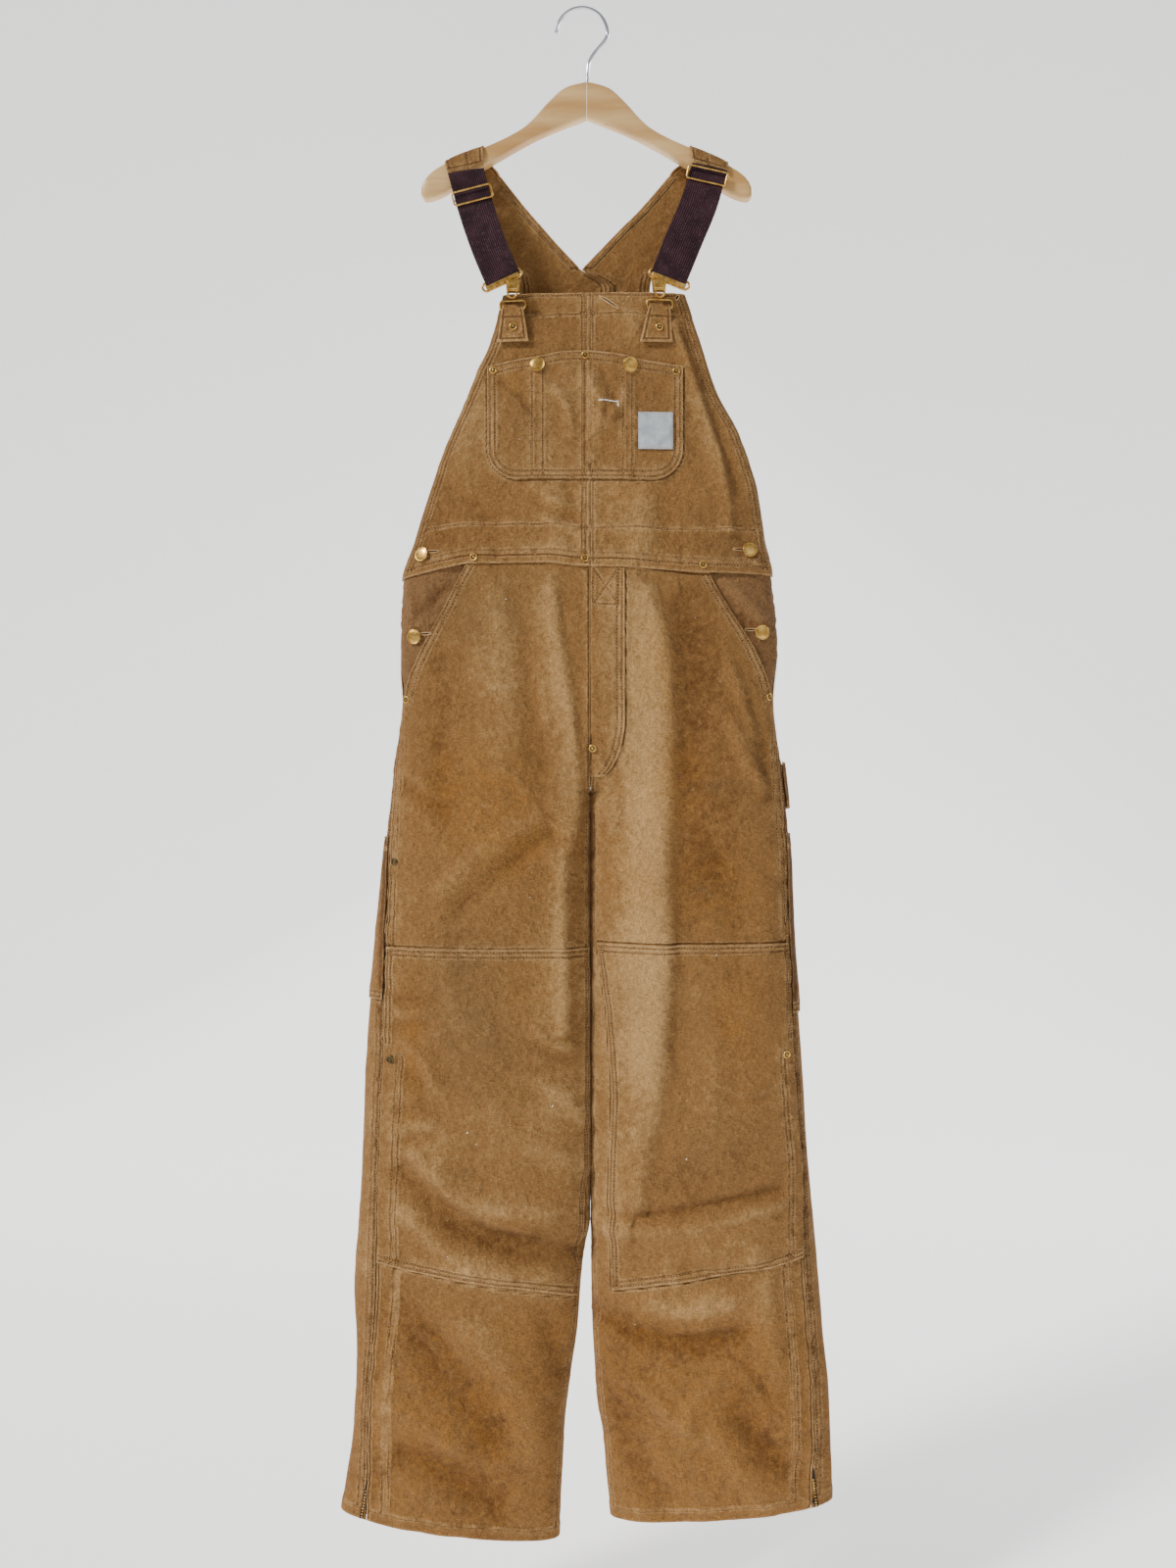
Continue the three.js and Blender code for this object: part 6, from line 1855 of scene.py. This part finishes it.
def fleck(name, x, z, wide, tall, turn=0.0):
    outline = []
    for i in range(11):
        a = 2 * math.pi * i / 11
        r = spatter.uniform(0.65, 1.1)
        along, aside = r * wide / 2 * math.cos(a), r * tall / 2 * math.sin(a)
        outline.append((x + along * math.cos(turn) - aside * math.sin(turn),
                        z + along * math.sin(turn) + aside * math.cos(turn)))
    daub(name, outline)


for i, (x, z, wide) in enumerate(((21.4, -460.8, 6.5), (27, -460.5, 7.5), (32.8, -460.9, 7),
                                  (38.6, -461.2, 7.4))):
    daub(f"paint_smear_{i + 1}", [(x - wide / 2, z - 0.2), (x - wide / 4, z + 0.8), (x + wide / 4, z + 0.9),
                                 (x + wide / 2, z + 0.1), (x + wide / 4, z - 0.9), (x - wide / 4, z - 0.8)])
daub("paint_drip", [(39.8, -463), (41.6, -462.8), (41.8, -466), (41.2, -468.4), (40.2, -468), (39.9, -465.4)])
for i, place in enumerate(((-33, -1255, 3.4, 1.6, 0.6), (-128, -1283, 2.6, 1.7, 0.2),
                           (117, -1312, 2.8, 1.6, 1.0), (-85, -686, 2.2, 1.6, 0.0),
                           (-30, -1249, 1.3, 1.1, 0.0), (46, -452, 1.5, 1.0, 0.4), (13, -466, 1.2, 1.0, 0.0),
                           (-118, -1296, 1.2, 1.0, 0.0), (84, -792, 1.6, 1.2, 0.3),
                           (150, -1084, 1.8, 1.1, 0.9), (-58, -1020, 1.4, 1.0, 0.1),
                           (-150, -1420, 1.6, 1.1, 0.5), (60, -1505, 1.5, 1.2, 0.0),
                           (128, -706, 1.4, 1.0, 0.7), (-70, -505, 1.3, 0.9, 0.2))):
    fleck(f"paint_fleck_{i + 1}", *place)

# The hook's wire, its tip and the two halves of the hanger
hook = dict(radius=29.5, wire=3.8)
hookPoints = []
for a in range(168, -3, -10):
    angle = math.radians(a)
    hookPoints.append((hook["radius"] * math.cos(angle), 0,
                       hook["wire"] / 2 + hook["radius"] * (math.sin(angle) - 1)))
hookPoints += [(29, 0, -31), (25.6, 0, -37.5), (17.5, 0, -46.5), (11.5, 0, -54), (7.6, 0, -62), (6.2, 0, -71),
               (6.2, 0, -86)]
finishHard(wire(hookPoints, hook["wire"], smooth=True, resolution=5), "hook", steel, "hook", 50)
bpy.ops.object.select_all(action="DESELECT")
bpy.ops.mesh.primitive_uv_sphere_add(segments=24, ring_count=14, radius=0.0027, location=(0, 0, 0))
tip = bpy.context.active_object
editFaces(tip, lambda face: face.center.z > 0.0021)
bpy.ops.mesh.extrude_region_move(TRANSFORM_OT_translate={"value": (0, 0, 0.0012)})
bpy.ops.transform.resize(value=(1.25, 1.25, 1))
bpy.ops.object.mode_set(mode="OBJECT")
tip.location = Vector((hookPoints[0][0] - 0.4, 0, hookPoints[0][2] - 4.6)) * mm
finishHard(tip, "hook_ball", steel, "hook_ball", 50)

board = dict(thick=14, soft=4.4, stations=44)
for side, form in sides.items():
    sign = form["sign"]
    start = split + sign * seamGap / 2
    tipX = -185 if side == "right" else 196
    under = through([(start, -127), (mix(start, tipX, 0.3), -150), (mix(start, tipX, 0.62), -184),
                     (tipX - sign * 5, -221), (tipX, -217)])
    stations = [(start + (tipX - start) * t, 1.0) for t in np.linspace(0, 0.978, board["stations"])]
    stations += [(tipX - sign * 2.2, 0.9), (tipX - sign * 0.9, 0.72), (tipX - sign * 0.2, 0.45)]
    bpy.ops.object.select_all(action="DESELECT")
    bpy.ops.mesh.primitive_plane_add(size=1, rotation=(0, math.pi / 2, 0))
    half = bpy.context.active_object
    bpy.ops.object.transform_apply(rotation=True)
    top, foot = float(hangerTop[side](start)), float(under(start))
    editFaces(half, lambda face: True)
    bpy.ops.transform.resize(value=(1, board["thick"] * mm, (top - foot) * mm))
    bpy.ops.mesh.bevel(offset=board["soft"] * mm, segments=5, affect="VERTICES")
    bpy.ops.transform.translate(value=(start * mm, 0, (top + foot) / 2 * mm))
    wasX, wasMiddle, wasTall, wasThin = start, (top + foot) / 2, top - foot, 1.0
    for x, thin in stations[1:]:
        top, foot = float(hangerTop[side](x)), float(under(x))
        middle, tall = (top + foot) / 2, (top - foot) * mix(0.35, 1, thin)
        bpy.ops.mesh.extrude_region_move(
            TRANSFORM_OT_translate={"value": ((x - wasX) * mm, 0, (middle - wasMiddle) * mm)})
        bpy.ops.transform.resize(value=(1, thin / wasThin, tall / wasTall),
                                 center_override=(x * mm, 0, middle * mm))
        wasX, wasMiddle, wasTall, wasThin = x, middle, tall, thin
    bpy.ops.mesh.select_all(action="SELECT")
    bpy.ops.mesh.normals_make_consistent(inside=False)
    finishHard(half, f"hanger_{side}", wood, f"hanger_{side}", 45)

# Camera, light and floor

view = dict(lens=27.05, sensor=36, place=(0.007, -1.358, -0.893))
camera = addObject("camera", bpy.data.cameras.new("camera"))
camera.data.lens = view["lens"]
camera.data.sensor_width = view["sensor"]
camera.location = view["place"]
camera.rotation_euler = (math.pi / 2, 0, 0)
bpy.context.scene.camera = camera


def softLight(name, place, aim, size, watts, tint=(1, 1, 1)):
    lamp = addObject(name, bpy.data.lights.new(name, "AREA"))
    lamp.data.shape = "SQUARE"
    lamp.data.size = size
    lamp.data.energy = watts
    lamp.data.color = tint
    lamp.location = place
    lamp.rotation_euler = (Vector(aim) - Vector(place)).to_track_quat("-Z", "Y").to_euler()


sun = addObject("keyLight", bpy.data.lights.new("keyLight", "SUN"))
sun.data.energy = 3.7
sun.data.angle = math.radians(10)
sun.data.color = (1.0, 0.98, 0.95)
sun.rotation_euler = Vector((0.66, 0.42, -0.62)).to_track_quat("-Z", "Y").to_euler()
softLight("fillLight", (1.6, -2.3, 0.2), (0, 0, -0.9), 1.6, 8, (0.95, 0.97, 1.0))
softLight("backLight", (1.9, 1.7, 0.9), (0, 0, -0.8), 0.8, 62)
softLight("backFill", (-1.4, 2.2, -0.4), (0, 0, -1.1), 1.6, 16)

# The world is a bright pale room to the camera and in reflections, and a dimmer one to the cloth
world = bpy.data.worlds.new("studio")
world.use_nodes = True
tree = world.node_tree
room = tree.nodes["Background"]
room.inputs["Color"].default_value = (0.88, 0.89, 0.9, 1)
path = addNode(tree, "ShaderNodeLightPath").outputs
seen = plus(tree, path["Is Camera Ray"], times(tree, path["Is Glossy Ray"], 0.25))
tree.links.new(spread(tree, seen, 0, 1, 0.08, 2.8), room.inputs["Strength"])
bpy.context.scene.world = world

# A pale floor that curves up into a backdrop
floorFinish, _, _ = newMaterial("paleFloor", {"Base Color": colour(240, 240, 239), "Roughness": 0.9,
                                             "Emission Color": (1, 1, 1, 1), "Emission Strength": 0.66})
sweep = [(-6.0, -1.9), (1.6, -1.9)]
sweep += [(1.6 + 1.6 * math.sin(a), -0.3 - 1.6 * math.cos(a)) for a in np.linspace(0.1, math.pi / 2, 15)]
sweep += [(3.2, 4.0)]
floor = meshFrom("floor", [(x, y, z) for y, z in sweep for x in (-7, 7)],
                 [(2 * i, 2 * i + 1, 2 * i + 3, 2 * i + 2) for i in range(len(sweep) - 1)], floorFinish)

added = {o.name: sum(len(f.vertices) - 2 for f in o.data.polygons) for o in bpy.data.objects
         if o.type == "MESH" and o.name not in loaded}
print(sum(added.values()), "triangles added, at most", max(added.values()), "in", max(added, key=added.get))
